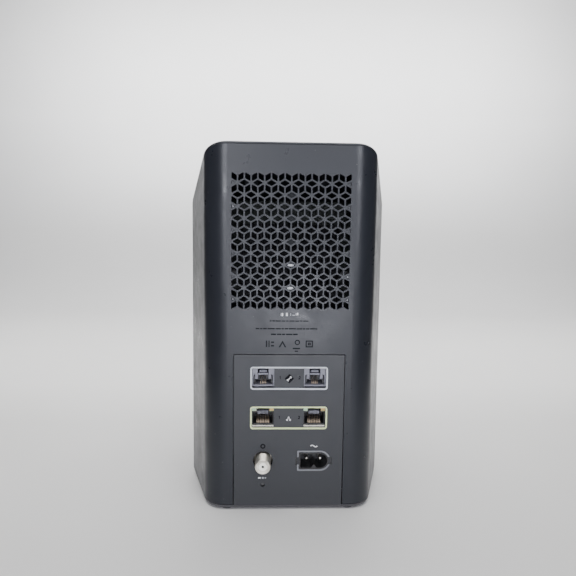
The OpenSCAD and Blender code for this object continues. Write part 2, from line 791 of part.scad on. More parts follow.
module front_heatsink() {
    color(alu_c) difference() {
        union() {
            block(-sink_half_w, sink_half_w, sink_back_y - sink_base_t, sink_back_y, sink_z0, sink_z1);
            for (k = [0:fin_count - 1]) let (
                x = -sink_half_w + (2 * sink_half_w - fin_t) * k / (fin_count - 1))
                block(x, x + fin_t, sink_back_y - sink_base_t - fin_deep, sink_back_y - sink_base_t + eps,
                    sink_z0, sink_z1);
            for (s = heatsink_screw_spots)
                rod_y(s.x, s[1], 3.2, sink_back_y - eps, board_front_y - 0.05, 48);
        }
        for (s = heatsink_screw_spots) rod_y(s.x, s[1], 1.45, sink_back_y - 2.5, board_front_y + 1, 32);
    }
}

module processor() {
    color([0.10, 0.10, 0.11]) {
        block_at(0, 106, 27, 27, board_front_y - 1.4, board_front_y - 0.05);
        block_at(0, 106, 19, 19, board_front_y - 2.2, board_front_y - 1.3);
    }
}

module memory_chips() {
    color([0.10, 0.10, 0.11]) for (s = [[-24, 112], [-24, 96], [24, 112], [24, 96]])
        block_at(s.x, s[1], 9, 13.5, board_front_y - 1.1, board_front_y - 0.05);
}

module processor_pad() {
    color([0.72, 0.55, 0.62]) block_at(0, 106, 22, 22, sink_back_y + 0.05, board_front_y - 2.25);
}

module radio_chips() {
    color([0.10, 0.10, 0.11]) for (x = [-16, 16], z = [124, 160])
        block_at(x, z, 15, 15, board_rear_y + 0.05, board_rear_y + 1.5);
}

module radio_pads() {
    color([0.72, 0.55, 0.62]) for (x = [-16, 16], z = [124, 160])
        block_at(x, z, 14, 14, board_rear_y + 1.55, board_rear_y + 2.5);
}

rear_sink_y = board_rear_y + 2.55;

module rear_heatsink() {
    half_w = 30;
    fins = 11;
    color(black_c) {
        block(-half_w, half_w, rear_sink_y, rear_sink_y + 2.2, 112, 176);
        for (k = [0:fins - 1]) let (x = -half_w + (2 * half_w - 1) * k / (fins - 1))
            block(x, x + 1, rear_sink_y + 2.2 - eps, rear_sink_y + 8.6, 112, 176);
    }
}

// A pressed tin lid soldered over a circuit
module shield_can(x0, x1, z0, z1, deep) {
    y1 = board_front_y - 0.05;
    difference() {
        block(x0, x1, y1 - deep, y1, z0, z1);
        block(x0 + 0.4, x1 - 0.4, y1 - deep + 0.4, y1 + 1, z0 + 0.4, z1 - 0.4);
        for (x = [x0 + 5:5:x1 - 4], z = [z0 + 5:5:z1 - 4])
            rod_y(x, z, 0.8, y1 - deep - 1, y1 - deep + 1, 16);
    }
}

module tuner_shield() {
    color(metal_c) shield_can(2, 37, 16, 46, 6);
}

module wifi_shield() {
    color(metal_c) shield_can(-30, 30, 157, 183, 3.6);
}

module phone_line_modules() {
    color([0.16, 0.16, 0.18]) for (x = [-31, 31])
        block_at(x, phone_z, 9, 16, board_rear_y + 0.05, board_rear_y + 8);
}

module network_transformers() {
    color([0.12, 0.12, 0.13]) for (x = [-31, 31])
        block_at(x, ethernet_z - 6, 9.5, 15, board_rear_y + 0.05, board_rear_y + 5.5);
}

// ---------------------------------------------------------------- power supply

supply_z = 13.6;
supply_t = 1.6;
supply_spots = [for (x = [-37, 37], y = [-24, 14]) [x, y]];

module power_board() {
    color([0.52, 0.42, 0.22]) difference() {
        block(-40.5, 40.5, -45, 27, supply_z - supply_t, supply_z);
        for (s = supply_spots) translate([s.x, s.y, 0]) cylinder(r = 1.5, h = supply_z + 1, $fn = 32);
    }
}

module supply_screws() {
    color(metal_c) for (s = supply_spots) translate([s.x, s.y, supply_z]) difference() {
        union() {
            translate([0, 0, -8]) cylinder(r = screw_r - 0.05, h = 8.1, $fn = 32);
            translate([0, 0, 0.05]) cylinder(r = 2.5, h = 1.6, $fn = 48);
        }
        for (w = [[2.6, 0.5], [0.5, 2.6]])
            translate([-w.x / 2, -w.y / 2, 0.9]) cube([w.x, w.y, 2]);
    }
}

module power_transformer() {
    color([0.82, 0.74, 0.36]) block(-16, 8, -28, -8, supply_z + 3, supply_z + 18);
    color(black_c) {
        block(-12, 4, -32, -4, supply_z + 0.05, supply_z + 3.1);
        block(-12, 4, -32, -4, supply_z + 17.9, supply_z + 21);
        block(-12, 4, -32, -28, supply_z + 3, supply_z + 18);
        block(-12, 4, -8, -4, supply_z + 3, supply_z + 18);
    }
}

// An upright electrolytic capacitor with a crimped groove
module capacitor(x, y, r, h) {
    translate([x, y, supply_z + 0.05]) rotate_extrude($fn = 48)
        polygon([[0, 0], [r, 0], [r, 2], [r - 0.4, 2.5], [r, 3], [r, h - 0.5], [r - 0.5, h], [0, h]]);
}

module bulk_capacitor() {
    color([0.10, 0.14, 0.26]) capacitor(25, -22, 9, 30);
}

module output_capacitors() {
    color([0.12, 0.16, 0.28]) for (s = [[-33, -38], [-23, -38], [-28, -28], [20, -38]])
        capacitor(s.x, s.y, 4, 16);
}

module mains_choke() {
    color([0.70, 0.36, 0.14]) translate([26, 8, supply_z + 0.05]) rotate_extrude($fn = 48)
        translate([3.6, 0]) square([5.4, 10]);
}

module rectifier_heatsink() {
    color(alu_c) {
        block(-34, -32.4, -14, 12, supply_z + 0.05, supply_z + 22);
        block(-32.41, -26, -14, -12.4, supply_z + 0.05, supply_z + 22);
    }
}

module fuse() {
    color([0.85, 0.85, 0.80]) translate([-6, 8, supply_z + 3.2]) rotate([0, 90, 0])
        cylinder(r = 2.6, h = 14, $fn = 32);
    color(metal_c) for (x = [-8, 8]) block(x, x + 1.9, 5.8, 10.2, supply_z + 0.05, supply_z + 6);
}

module led_header() {
    color([0.90, 0.89, 0.84]) difference() {
        block_at(34.4, 170, 5, 7, board_front_y - 4.5, board_front_y - 0.05);
        block_at(34.4, 170, 3.6, 5.6, board_front_y - 5, board_front_y - 1.2);
    }
}

module dc_header() {
    color([0.90, 0.89, 0.84]) difference() {
        block_at(-26, 52, 10, 6, board_front_y - 6.5, board_front_y - 0.05);
        block_at(-26, 52, 8.4, 4.4, board_front_y - 7, board_front_y - 1.5);
    }
}

module dc_leads() {
    for (k = [0, 1]) color(k == 0 ? [0.75, 0.10, 0.10] : [0.08, 0.08, 0.08]) {
        x = -28 + 4 * k;
        wire([[x, board_front_y - 3, 52], [x, board_front_y - 9, 52], [x, board_front_y - 14, 49],
            [x, board_front_y - 16, 40], [x, board_front_y - 17, 28], [x, board_front_y - 19, 19],
            [x, board_front_y - 20, 14.2]], 0.8);
    }
}

// ---------------------------------------------------------------- antennas and light cable

antenna_h = 40;
antenna_w = 16;
antenna_t = 0.9;
antenna_z0 = 82;

// One antenna board lying flat against the inside of the front wall
module front_antenna(x) {
    block(x - antenna_w / 2, x + antenna_w / 2, front_y + wall + 0.05, front_y + wall + antenna_t,
        antenna_z0, antenna_z0 + antenna_h);
}

// One antenna board against the inside of a side wall, in front of the crease
module side_antenna(side) {
    mirror([side > 0 ? 0 : 1, 0, 0])
        translate([crease_x + crease_r * side_n.x, mid_y - crease_r * side_n.y, antenna_z0])
            rotate(-splay) translate([-wall - antenna_t, -8 - antenna_w, 0])
                cube([antenna_t - 0.05, antenna_w, antenna_h]);
}

module wifi_antennas() {
    color([0.14, 0.30, 0.42]) {
        for (x = [-20, 20]) front_antenna(x);
        for (side = [-1, 1]) side_antenna(side);
    }
}

module antenna_cables() {
    lid_y = board_front_y - 4.4;
    color([0.12, 0.12, 0.12]) for (side = [-1, 1]) {
        wire([[side * 20, front_y + wall + 1.6, 112], [side * 20, front_y + wall + 4, 122],
            [side * 19, -50, 132], [side * 17, -32, 142], [side * 16, -10, 152],
            [side * 15, 10, 162], [side * 14, 22, 168], [side * 13, lid_y - 0.3, 170]], 0.6);
        wire([[side * 55.6, -24, 112], [side * 53.2, -20, 122], [side * 49, -12, 134], [side * 42, 2, 148],
            [side * 34, 14, 158], [side * 28, 23, 164], [side * 24, lid_y - 0.3, 166]], 0.6);
    }
}

module led_cable() {
    light_z = cover_t + 7.2 + 0.75;
    color([0.80, 0.80, 0.78])
        wire([slope_point(6, window_back + 2, light_z), slope_point(8, window_back, light_z + 3),
            [12, -30, 152], [17, -12, 154], [24, 6, 159], [31, 20, 167],
            [34.4, board_front_y - 7, 170], [34.4, board_front_y - 2, 170]], 0.7);
}

// ---------------------------------------------------------------- assembly

outer_shell();
top_cover();
light_guide();
base_plate();
rubber_feet();
base_screws();
base_label();
io_panel();
phone_port_bezel();
ethernet_port_bezel();
power_inlet_bezel();
phone_jack_1();
phone_jack_2();
phone_jack_contacts();
ethernet_jack_1();
ethernet_jack_2();
ethernet_shield_1();
ethernet_shield_2();
ethernet_jack_contacts();
link_light_lenses();
activity_light_lenses();
coax_connector();
coax_insulator();
coax_contact();
power_inlet();
power_inlet_pins();
power_inlet_leads();
reset_button();
reset_switch();
inner_frame();
main_board();
board_screws();
processor();
memory_chips();
processor_pad();
front_heatsink();
heatsink_screws();
radio_chips();
radio_pads();
rear_heatsink();
tuner_shield();
wifi_shield();
phone_line_modules();
network_transformers();
power_board();
power_transformer();
bulk_capacitor();
output_capacitors();
mains_choke();
rectifier_heatsink();
fuse();
supply_screws();
dc_header();
dc_leads();
led_board();
status_led();
led_header();
led_cable();
wifi_antennas();
antenna_cables();
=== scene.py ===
"""Looks for a desktop cable modem: finishes, fine detail, floor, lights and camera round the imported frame.

Lengths are in millimetres until they are handed to Blender, where MM turns them into metres.
"""
import json
import math

import bmesh
import bpy
from mathutils import Matrix, Vector
from mathutils.geometry import delaunay_2d_cdt

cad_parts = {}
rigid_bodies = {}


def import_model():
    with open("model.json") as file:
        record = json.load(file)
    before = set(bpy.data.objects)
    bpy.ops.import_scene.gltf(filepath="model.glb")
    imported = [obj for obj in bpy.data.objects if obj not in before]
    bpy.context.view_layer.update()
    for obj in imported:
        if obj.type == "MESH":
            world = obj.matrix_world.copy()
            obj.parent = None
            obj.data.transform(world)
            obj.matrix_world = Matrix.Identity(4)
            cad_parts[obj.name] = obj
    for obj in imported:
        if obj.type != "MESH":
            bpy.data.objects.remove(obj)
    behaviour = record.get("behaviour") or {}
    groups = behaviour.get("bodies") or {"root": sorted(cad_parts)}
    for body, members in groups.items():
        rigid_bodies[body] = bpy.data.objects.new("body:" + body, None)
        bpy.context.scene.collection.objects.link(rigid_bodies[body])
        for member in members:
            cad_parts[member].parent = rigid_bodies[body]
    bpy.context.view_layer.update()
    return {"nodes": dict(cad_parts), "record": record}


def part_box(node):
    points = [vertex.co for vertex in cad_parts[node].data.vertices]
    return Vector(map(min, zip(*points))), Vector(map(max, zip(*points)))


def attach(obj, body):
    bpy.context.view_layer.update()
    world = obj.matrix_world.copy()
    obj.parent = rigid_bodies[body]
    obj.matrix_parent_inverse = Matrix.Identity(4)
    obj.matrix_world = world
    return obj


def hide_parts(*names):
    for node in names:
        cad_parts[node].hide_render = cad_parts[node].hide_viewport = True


for leftover in list(bpy.data.objects):
    bpy.data.objects.remove(leftover)

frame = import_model()
NODES = frame["nodes"]
BODY = "tower"
MM = 0.001


def box_mm(node):
    """Lowest and highest corner of a CAD node, in millimetres."""
    low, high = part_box(node)
    return low / MM, high / MM


# ------------------------------------------------------------------ the tower's own dimensions

shell_low, shell_high = box_mm("outer_shell")
cap_high = box_mm("top_cover")[1]
coax_low, coax_high = box_mm("coax_connector")

REAR_Y = shell_high.y
FRONT_Y = shell_low.y
MID_Y = (REAR_Y + FRONT_Y) / 2
FLAT_HALF_W = 37.5
CORNER_R = 15.5
SPLAY = math.radians(15.6)
CREASE_R = 20.0
WALL = 2.4
TOP_SLOPE = math.radians(28.8)
CREASE_X = shell_high.x - CREASE_R

RIM_TOP = shell_low.z + 0.7
RIM_LOW = 0.95
SHELL_SEAM = 0.9

RHOMB_EDGE = 4.56
STRUT = 1.1
GRILLE_TOP_Z = 199.6
GRILLE_ROWS = 11
GRILLE_COLS = 9
BLIND_DEEP = 0.9
RHOMB_W = RHOMB_EDGE * math.sqrt(3)
ROW_H = RHOMB_EDGE * 1.5

PANEL_HALF_W = 33.35
PANEL_TOP = 97.55
PANEL_SEAM = 0.5
NOTCH_HALF_W = PANEL_HALF_W + PANEL_SEAM
NOTCH_TOP = PANEL_TOP + PANEL_SEAM
PANEL_FACE_Y = box_mm("io_panel")[1].y
PHONE_Z = sum(c.z for c in box_mm("phone_port_bezel")) / 2
ETHERNET_Z = sum(c.z for c in box_mm("ethernet_port_bezel")) / 2
JACK_X = sum(c.x for c in box_mm("phone_jack_1")) / 2
COAX_X = (coax_low.x + coax_high.x) / 2
COAX_Z = (coax_low.z + coax_high.z) / 2


# ------------------------------------------------------------------ node helpers

class Look:
    """A material whose Principled shader is fed by small procedural networks."""

    def __init__(self, name):
        self.mat = bpy.data.materials.new(name)
        self.mat.use_nodes = True
        self.tree = self.mat.node_tree
        self.bsdf = self.tree.nodes["Principled BSDF"]
        self.coords = self.tree.nodes.new("ShaderNodeTexCoord").outputs["Object"]

    def node(self, kind, inputs=None, **settings):
        made = self.tree.nodes.new(kind)
        for key, value in settings.items():
            setattr(made, key, value)
        for key, value in (inputs or {}).items():
            self.feed(made.inputs[key], value)
        return made

    def feed(self, socket, value):
        if isinstance(value, bpy.types.NodeSocket):
            self.tree.links.new(value, socket)
        elif isinstance(value, (tuple, list)) and len(value) == 3 and socket.type == "RGBA":
            socket.default_value = (*value, 1.0)
        else:
            socket.default_value = value

    def stretched(self, scale):
        """Object coordinates with a different scale along each axis."""
        return self.node("ShaderNodeMapping", {"Vector": self.coords, "Scale": scale}).outputs[0]

    def noise(self, size_mm, detail=3.0, rough=0.55, vector=None):
        """Noise whose features are about size_mm across."""
        made = self.node("ShaderNodeTexNoise", {
            "Vector": vector or self.coords, "Scale": 1 / (size_mm * MM),
            "Detail": detail, "Roughness": rough})
        return made.outputs["Fac"]

    def cells(self, size_mm, feature="F1", vector=None):
        made = self.node("ShaderNodeTexVoronoi", {
            "Vector": vector or self.coords, "Scale": 1 / (size_mm * MM)}, feature=feature)
        return made.outputs["Distance"]

    def span(self, value, low, high, start=0.3, end=0.7):
        """Maps start..end of a texture value to low..high."""
        made = self.node("ShaderNodeMapRange", {
            "Value": value, "From Min": start, "From Max": end, "To Min": low, "To Max": high})
        return made.outputs[0]

    def blend(self, factor, first, second, mode="MIX"):
        made = self.node("ShaderNodeMix", data_type="RGBA", blend_type=mode)
        self.feed(made.inputs["Factor"], factor)
        self.feed(made.inputs["A"], first)
        self.feed(made.inputs["B"], second)
        return made.outputs["Result"]

    def product(self, first, second):
        made = self.node("ShaderNodeMath", operation="MULTIPLY")
        self.feed(made.inputs[0], first)
        self.feed(made.inputs[1], second)
        return made.outputs[0]

    def bump(self, height, distance_mm, strength=1.0, normal=None):
        made = self.node("ShaderNodeBump", {
            "Height": height, "Distance": distance_mm * MM, "Strength": strength})
        if normal is not None:
            self.feed(made.inputs["Normal"], normal)
        return made.outputs["Normal"]

    def set(self, **sockets):
        """Feeds shader sockets; Base_Color stands for the socket Base Color."""
        for key, value in sockets.items():
            self.feed(self.bsdf.inputs[key.replace("_", " ")], value)
        return self.mat


def shade(colour, factor):
    return tuple(c * factor for c in colour)


# ------------------------------------------------------------------ finishes

def moulded_plastic(name, colour, rough=0.5, grain_mm=0.28, grain_deep_mm=0.012, dust=0.0, specular=0.5):
    """Injection-moulded plastic: spark-eroded grain, slow shade drift, rubbed and dusty patches."""
    look = Look(name)
    drift = look.noise(38, detail=2)
    smudge = look.noise(11, detail=5, rough=0.65)
    grain = look.noise(grain_mm, detail=2)
    base = look.blend(look.span(drift, 0, 1), shade(colour, 0.93), shade(colour, 1.07))
    base = look.blend(look.span(grain, 0, 0.35, 0.42, 0.62), base, shade(colour, 1.3))
    if dust:
        fleck = look.cells(5.5)
        settled = look.product(look.span(fleck, dust, 0, 0.02, 0.06), look.span(smudge, 0, 1, 0.45, 0.7))
        base = look.blend(settled, base, (0.45, 0.45, 0.44))
    return look.set(
        Base_Color=base,
        Roughness=look.span(smudge, rough - 0.07, rough + 0.07),
        Specular_IOR_Level=specular,
        Normal=look.bump(grain, grain_deep_mm, normal=look.bump(drift, 0.008)))


def plated_metal(name, colour, rough=0.28, streak=(1, 1, 1), tarnish=(0.6, 0.5, 0.35)):
    """Plated or rolled metal with fine streaks and slight tarnish."""
    look = Look(name)
    streaks = look.noise(0.5, detail=4, vector=look.stretched(streak))
    patches = look.noise(2.6, detail=4, rough=0.6)
    base = look.blend(look.span(patches, 0, 0.45, 0.5, 0.72), colour, tuple(
        c * t for c, t in zip(colour, tarnish)))
    return look.set(
        Base_Color=base, Metallic=1.0,
        Roughness=look.span(streaks, rough - 0.08, rough + 0.12),
        Normal=look.bump(streaks, 0.006))


def soft_rubber(name, colour=(0.012, 0.012, 0.013)):
    look = Look(name)
    pores = look.noise(0.35, detail=4)
    lint = look.noise(2.2, detail=4)
    base = look.blend(look.span(lint, 0, 0.5, 0.55, 0.75), colour, (0.06, 0.06, 0.058))
    return look.set(Base_Color=base, Roughness=look.span(pores, 0.72, 0.92),
                    Normal=look.bump(pores, 0.03))


def milky_lens(name, colour, glow=0.0):
    """A translucent moulded light pipe."""
    look = Look(name)
    haze = look.noise(1.1, detail=3)
    base = look.blend(look.span(haze, 0, 1), shade(colour, 0.85), colour)
    return look.set(Base_Color=base, Roughness=look.span(haze, 0.12, 0.3), Coat_Weight=0.5,
                    Subsurface_Weight=0.3, Subsurface_Scale=0.002, Normal=look.bump(haze, 0.01),
                    Emission_Color=colour, Emission_Strength=glow)


def circuit_board(name, mask, plane="XZ", pad=(0.62, 0.56, 0.42)):
    """Solder mask over etched tracks, with tinned pads showing through."""
    look = Look(name)
    turn = (math.radians(90), 0, 0) if plane == "XZ" else (0, 0, 0)
    flat = look.node("ShaderNodeMapping", {"Vector": look.coords, "Rotation": turn}).outputs[0]
    tracks = look.node("ShaderNodeTexBrick", {
        "Vector": flat, "Scale": 330.0, "Mortar Size": 0.035, "Brick Width": 1.7, "Row Height": 0.42,
        "Mortar Smooth": 0.1}).outputs["Fac"]
    vias = look.cells(2.6, vector=flat)
    base = look.blend(look.span(tracks, 0, 0.8, 0.2, 0.8), mask, shade(mask, 1.9))
    base = look.blend(look.span(vias, 1, 0, 0.06, 0.1), base, pad)
    return look.set(Base_Color=base, Roughness=look.span(look.noise(6), 0.5, 0.66), Specular_IOR_Level=0.25,
                    Normal=look.bump(tracks, 0.03))


def moulded_epoxy(name):
    look = Look(name)
    grain = look.noise(0.22, detail=3)
    return look.set(
        Base_Color=look.blend(look.span(grain, 0, 1), (0.009, 0.009, 0.010), (0.020, 0.020, 0.021)),
        Roughness=look.span(look.noise(3), 0.42, 0.6), Normal=look.bump(grain, 0.015))


def wound_copper(name):
    look = Look(name)
    turns = look.node("ShaderNodeTexWave", {
        "Vector": look.coords, "Scale": 420.0, "Distortion": 0.6, "Detail": 1.0},
        bands_direction="DIAGONAL").outputs["Fac"]
    return look.set(Base_Color=look.blend(turns, (0.20, 0.06, 0.02), (0.62, 0.26, 0.09)), Metallic=1.0,
                    Roughness=look.span(turns, 0.3, 0.45, 0, 1), Normal=look.bump(turns, 0.25))


def printed_film(name, colour):
    """A plain film label: slight orange peel and dirty patches."""
    look = Look(name)
    peel = look.noise(0.9, detail=3)
    grime = look.noise(14, detail=5)
    base = look.blend(look.span(grime, 0, 0.5, 0.5, 0.75), colour, shade(colour, 0.72))
    return look.set(Base_Color=base, Roughness=look.span(peel, 0.35, 0.5), Normal=look.bump(peel, 0.008))


def screen_ink(name, colour, rough=0.55, specular=0.5):
    """Screen-printed ink that is slightly broken by the grain below it."""
    look = Look(name)
    broken = look.noise(0.22, detail=3)
    base = look.blend(look.span(broken, 0, 0.55, 0.5, 0.8), colour, shade(colour, 0.55))
    return look.set(Base_Color=base, Roughness=look.span(broken, rough - 0.06, rough + 0.1),
                    Specular_IOR_Level=specular, Normal=look.bump(broken, 0.008))


SHELL_GREY = (0.0145, 0.0160, 0.0205)
PANEL_GREY = (0.0160, 0.0172, 0.0210)
BLACK = (0.010, 0.010, 0.011)

LOOKS = {
    "shell_plastic": moulded_plastic("shell_plastic", SHELL_GREY, rough=0.33, dust=0.5, specular=0.36),
    "cap_plastic": moulded_plastic("cap_plastic", (0.018, 0.019, 0.023), rough=0.42, dust=0.4),
    "panel_plastic": moulded_plastic("panel_plastic", PANEL_GREY, rough=0.44, dust=0.4),
    "black_plastic": moulded_plastic("black_plastic", BLACK, rough=0.38, grain_deep_mm=0.008),
    "rubber": soft_rubber("rubber"),
    "phone_grey": moulded_plastic("phone_grey", (0.48, 0.50, 0.53), rough=0.42, grain_deep_mm=0.006),
    "ethernet_green": moulded_plastic("ethernet_green", (0.60, 0.68, 0.36), rough=0.42, grain_deep_mm=0.006),
    "inlet_grey": moulded_plastic("inlet_grey", (0.16, 0.165, 0.18), rough=0.42, grain_deep_mm=0.006),
    "jack_grey": moulded_plastic("jack_grey", (0.20, 0.20, 0.235), rough=0.4, grain_deep_mm=0.008),
    "plated_steel": plated_metal("plated_steel", (0.66, 0.64, 0.58), rough=0.3, streak=(1, 0.08, 1)),
    "nickel_brass": plated_metal("nickel_brass", (0.74, 0.71, 0.63), rough=0.36),
    "gold_contact": plated_metal("gold_contact", (0.40, 0.32, 0.25), rough=0.34),
    "cream_plastic": moulded_plastic("cream_plastic", (0.93, 0.91, 0.82), rough=0.4, grain_deep_mm=0.004),
    "clear_light_pipe": milky_lens("clear_light_pipe", (0.82, 0.84, 0.86)),
    "green_lens": milky_lens("green_lens", (0.46, 0.66, 0.44)),
    "amber_lens": milky_lens("amber_lens", (0.66, 0.46, 0.17)),
    "reset_plastic": moulded_plastic("reset_plastic", (0.05, 0.05, 0.05), rough=0.45),
    "circuit_board": circuit_board("circuit_board", (0.0025, 0.005, 0.004), pad=(0.03, 0.028, 0.02)),
    "supply_board": circuit_board("supply_board", (0.22, 0.13, 0.045), plane="XY"),
    "chip_epoxy": moulded_epoxy("chip_epoxy"),
    "thermal_pad": soft_rubber("thermal_pad", (0.36, 0.20, 0.27)),
    "aluminium": plated_metal("aluminium", (0.78, 0.79, 0.80), rough=0.34, streak=(1, 1, 0.05)),
    "black_aluminium": plated_metal("black_aluminium", (0.008, 0.008, 0.009), rough=0.45, streak=(1, 1, 0.05)),
    "transformer_tape": printed_film("transformer_tape", (0.62, 0.46, 0.05)),
    "capacitor_sleeve": printed_film("capacitor_sleeve", (0.012, 0.02, 0.06)),
    "copper_winding": wound_copper("copper_winding"),
    "fuse_ceramic": printed_film("fuse_ceramic", (0.74, 0.73, 0.66)),
    "header_plastic": moulded_plastic("header_plastic", (0.70, 0.67, 0.56), rough=0.45),
    "wire_sleeve": moulded_plastic("wire_sleeve", (0.03, 0.03, 0.032), rough=0.35, grain_mm=0.5),
    "grey_wire": moulded_plastic("grey_wire", (0.50, 0.50, 0.47), rough=0.4, grain_mm=0.5),
    "antenna_board": circuit_board("antenna_board", (0.012, 0.045, 0.11)),
    "blank_label": printed_film("blank_label", (0.70, 0.70, 0.66)),
    # steel darkened far below bare steel, which paints the shade inside the tower over the screws
    "screw_steel": plated_metal("screw_steel", (0.10, 0.10, 0.105), rough=0.45),
}
for entry in frame["record"]["subparts"]:
    mesh = NODES[entry["node"]].data
    mesh.materials.clear()
    mesh.materials.append(LOOKS[entry["material_slot"]])

WHITE_INK = screen_ink("white_ink", (0.72, 0.72, 0.72))
DARK_INK = screen_ink("dark_ink", (0.010, 0.010, 0.012), rough=0.75, specular=0.06)
PALE_INK = screen_ink("pale_ink", (0.34, 0.35, 0.37))
RIM_GLOSS = moulded_plastic("rim_gloss", (0.035, 0.034, 0.040), rough=0.22, specular=0.7)
# a near-black finish that paints the shade deep in holes: the floors of the centre blind vents and the depth of
# the coax bore
RECESS_SHADE_PAINT = moulded_plastic("painted_recess_shade", (0.008, 0.009, 0.011), rough=0.5, specular=0.12)
# a pale grey that paints bright glints in some blind vent holes
GLINT_PAINT_GREY = moulded_plastic("painted_glint_grey", (0.50, 0.51, 0.53), rough=0.2, grain_deep_mm=0.004)


# ------------------------------------------------------------------ mesh helpers

def piece(name, bm, look, replaces=(), sharp_deg=32, body=BODY):
    """Turns a bmesh in millimetres into an object that rides on a body."""
    bmesh.ops.remove_doubles(bm, verts=bm.verts, dist=0.0005)
    bmesh.ops.recalc_face_normals(bm, faces=bm.faces)
    limit = math.radians(sharp_deg)
    for edge in bm.edges:
        edge.smooth = len(edge.link_faces) == 2 and edge.calc_face_angle(0) < limit
    for face in bm.faces:
        face.smooth = True
    bm.transform(Matrix.Scale(MM, 4))
    mesh = bpy.data.meshes.new(name)
    bm.to_mesh(mesh)
    bm.free()
    mesh.materials.append(look)
    obj = bpy.data.objects.new(name, mesh)
    bpy.context.scene.collection.objects.link(obj)
    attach(obj, body)
    if replaces:
        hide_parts(*replaces)
    return obj


def add_face(bm, points):
    return bm.faces.new([bm.verts.new(p) for p in points])


def add_rings(bm, rings, close_first=True, close_last=True, endless=False):
    """Quads between neighbouring closed loops of equal length.

    Each end gets a cap if asked; an endless stack joins its last loop to its first instead.
    """
    loops = [[bm.verts.new(p) for p in ring] for ring in rings]
    count = len(loops[0])
    for low, high in zip(loops, loops[1:] + loops[:1] if endless else loops[1:]):
        for k in range(count):
            bm.faces.new([low[k], low[(k + 1) % count], high[(k + 1) % count], high[k]])
    if close_first and not endless:
        bm.faces.new(loops[0][::-1])
    if close_last and not endless:
        bm.faces.new(loops[-1])
    return loops


def filleted(points, radius, steps=3):
    """A convex 2-D outline with each corner turned into an arc, with anticlockwise or clockwise order kept."""
    out = []
    count = len(points)
    for k in range(count):
        before, here, after = (Vector(points[(k + d) % count]) for d in (-1, 0, 1))
        to_before = (before - here).normalized()
        to_after = (after - here).normalized()
        half = to_before.angle(to_after) / 2
        reach = radius / math.tan(half)
        centre = here + (to_before + to_after).normalized() * (radius / math.sin(half))
        start = here + to_before * reach - centre
        end = here + to_after * reach - centre
        turn = start.angle_signed(end)
        for s in range(steps + 1):
            a = -turn * s / steps
            out.append((centre.x + start.x * math.cos(a) - start.y * math.sin(a),
                        centre.y + start.x * math.sin(a) + start.y * math.cos(a)))
    return out


def grown(points, by):
    """An outline moved outwards by the given distance, point for point."""
    turn = 1 if anticlockwise(points) is points else -1
    count = len(points)
    out = []
    for k in range(count):
        before, here, after = (Vector(points[(k + d) % count]) for d in (-1, 0, 1))
        into, away = (here - before).normalized(), (after - here).normalized()
        n1, n2 = Vector((into.y, -into.x)), Vector((away.y, -away.x))
        out.append(tuple(here + (n1 + n2) * (turn * by / (1 + n1.dot(n2)))))
    return out


def anticlockwise(loop):
    area = sum(a[0] * b[1] - b[0] * a[1] for a, b in zip(loop, loop[1:] + loop[:1]))
    return loop if area > 0 else loop[::-1]


def sheet_with_holes(bm, outline, holes, place):
    """Fills a flat outline, leaving the holes open. place turns (u, v) into a 3-D point."""
    points, faces = [], []
    for loop in [outline, *holes]:
        faces.append(list(range(len(points), len(points) + len(loop))))
        points.extend(Vector(p) for p in anticlockwise(loop))
    verts, _, tris, _, _, sources = delaunay_2d_cdt(points, [], faces, 0, 1e-6)
    made = [bm.verts.new(place(v.x, v.y)) for v in verts]
    for tri, source in zip(tris, sources):
        if source == [0]:
            bm.faces.new([made[i] for i in tri])


def on_rear(y):
    return lambda u, v: (u, y, v)


# ------------------------------------------------------------------ outer shell

def plan_points(inset, corner_steps=14, crease_steps=8):
    """The plan from the right end of the rear flat, round the front, to the left end of the rear flat.

    A close extra point at each end of every arc keeps the shading of the flat faces flat.
    """
    close = 0.3

    def arc(cx, cy, r, start, end, steps):
        spots = [(cx + r * math.cos(start + (end - start) * k / steps),
                  cy + r * math.sin(start + (end - start) * k / steps)) for k in range(steps + 1)]
        before = (spots[0][0] - close * math.sin(start), spots[0][1] + close * math.cos(start))
        after = (spots[-1][0] + close * math.sin(end), spots[-1][1] - close * math.cos(end))
        return [before] + spots + [after]

    quarter = math.pi / 2
    right = arc(FLAT_HALF_W, REAR_Y - CORNER_R, CORNER_R - inset, quarter, SPLAY, corner_steps)
    right += arc(CREASE_X, MID_Y, CREASE_R - inset, SPLAY, -SPLAY, crease_steps)
    right += arc(FLAT_HALF_W, FRONT_Y + CORNER_R, CORNER_R - inset, -SPLAY, -quarter, corner_steps)
    return right + [(-x, y) for x, y in reversed(right)]


def slope_z(y, deep=0.0):
    """Height of the sloping top plane, or of the plane deep below it, at y."""
    return cap_high.z - (REAR_Y - y) * math.tan(TOP_SLOPE) - deep / math.cos(TOP_SLOPE)


def lying_rhomb(x, z):
    half_w = RHOMB_W / 2 - STRUT
    half_h = half_w / math.sqrt(3)
    return [(x + half_w, z), (x, z + half_h), (x - half_w, z), (x, z - half_h)]


def standing_rhomb(x, z, lean):
    half_w = RHOMB_W / 4 - STRUT / 2
    half_h = (RHOMB_EDGE - STRUT / math.cos(math.radians(30))) / 2
    rise = lean * half_w * math.tan(math.radians(30))
    return [(x - half_w, z - half_h - rise), (x + half_w, z - half_h + rise),
            (x + half_w, z + half_h + rise), (x - half_w, z + half_h - rise)]


def row_z(row):
    return GRILLE_TOP_Z - row * ROW_H


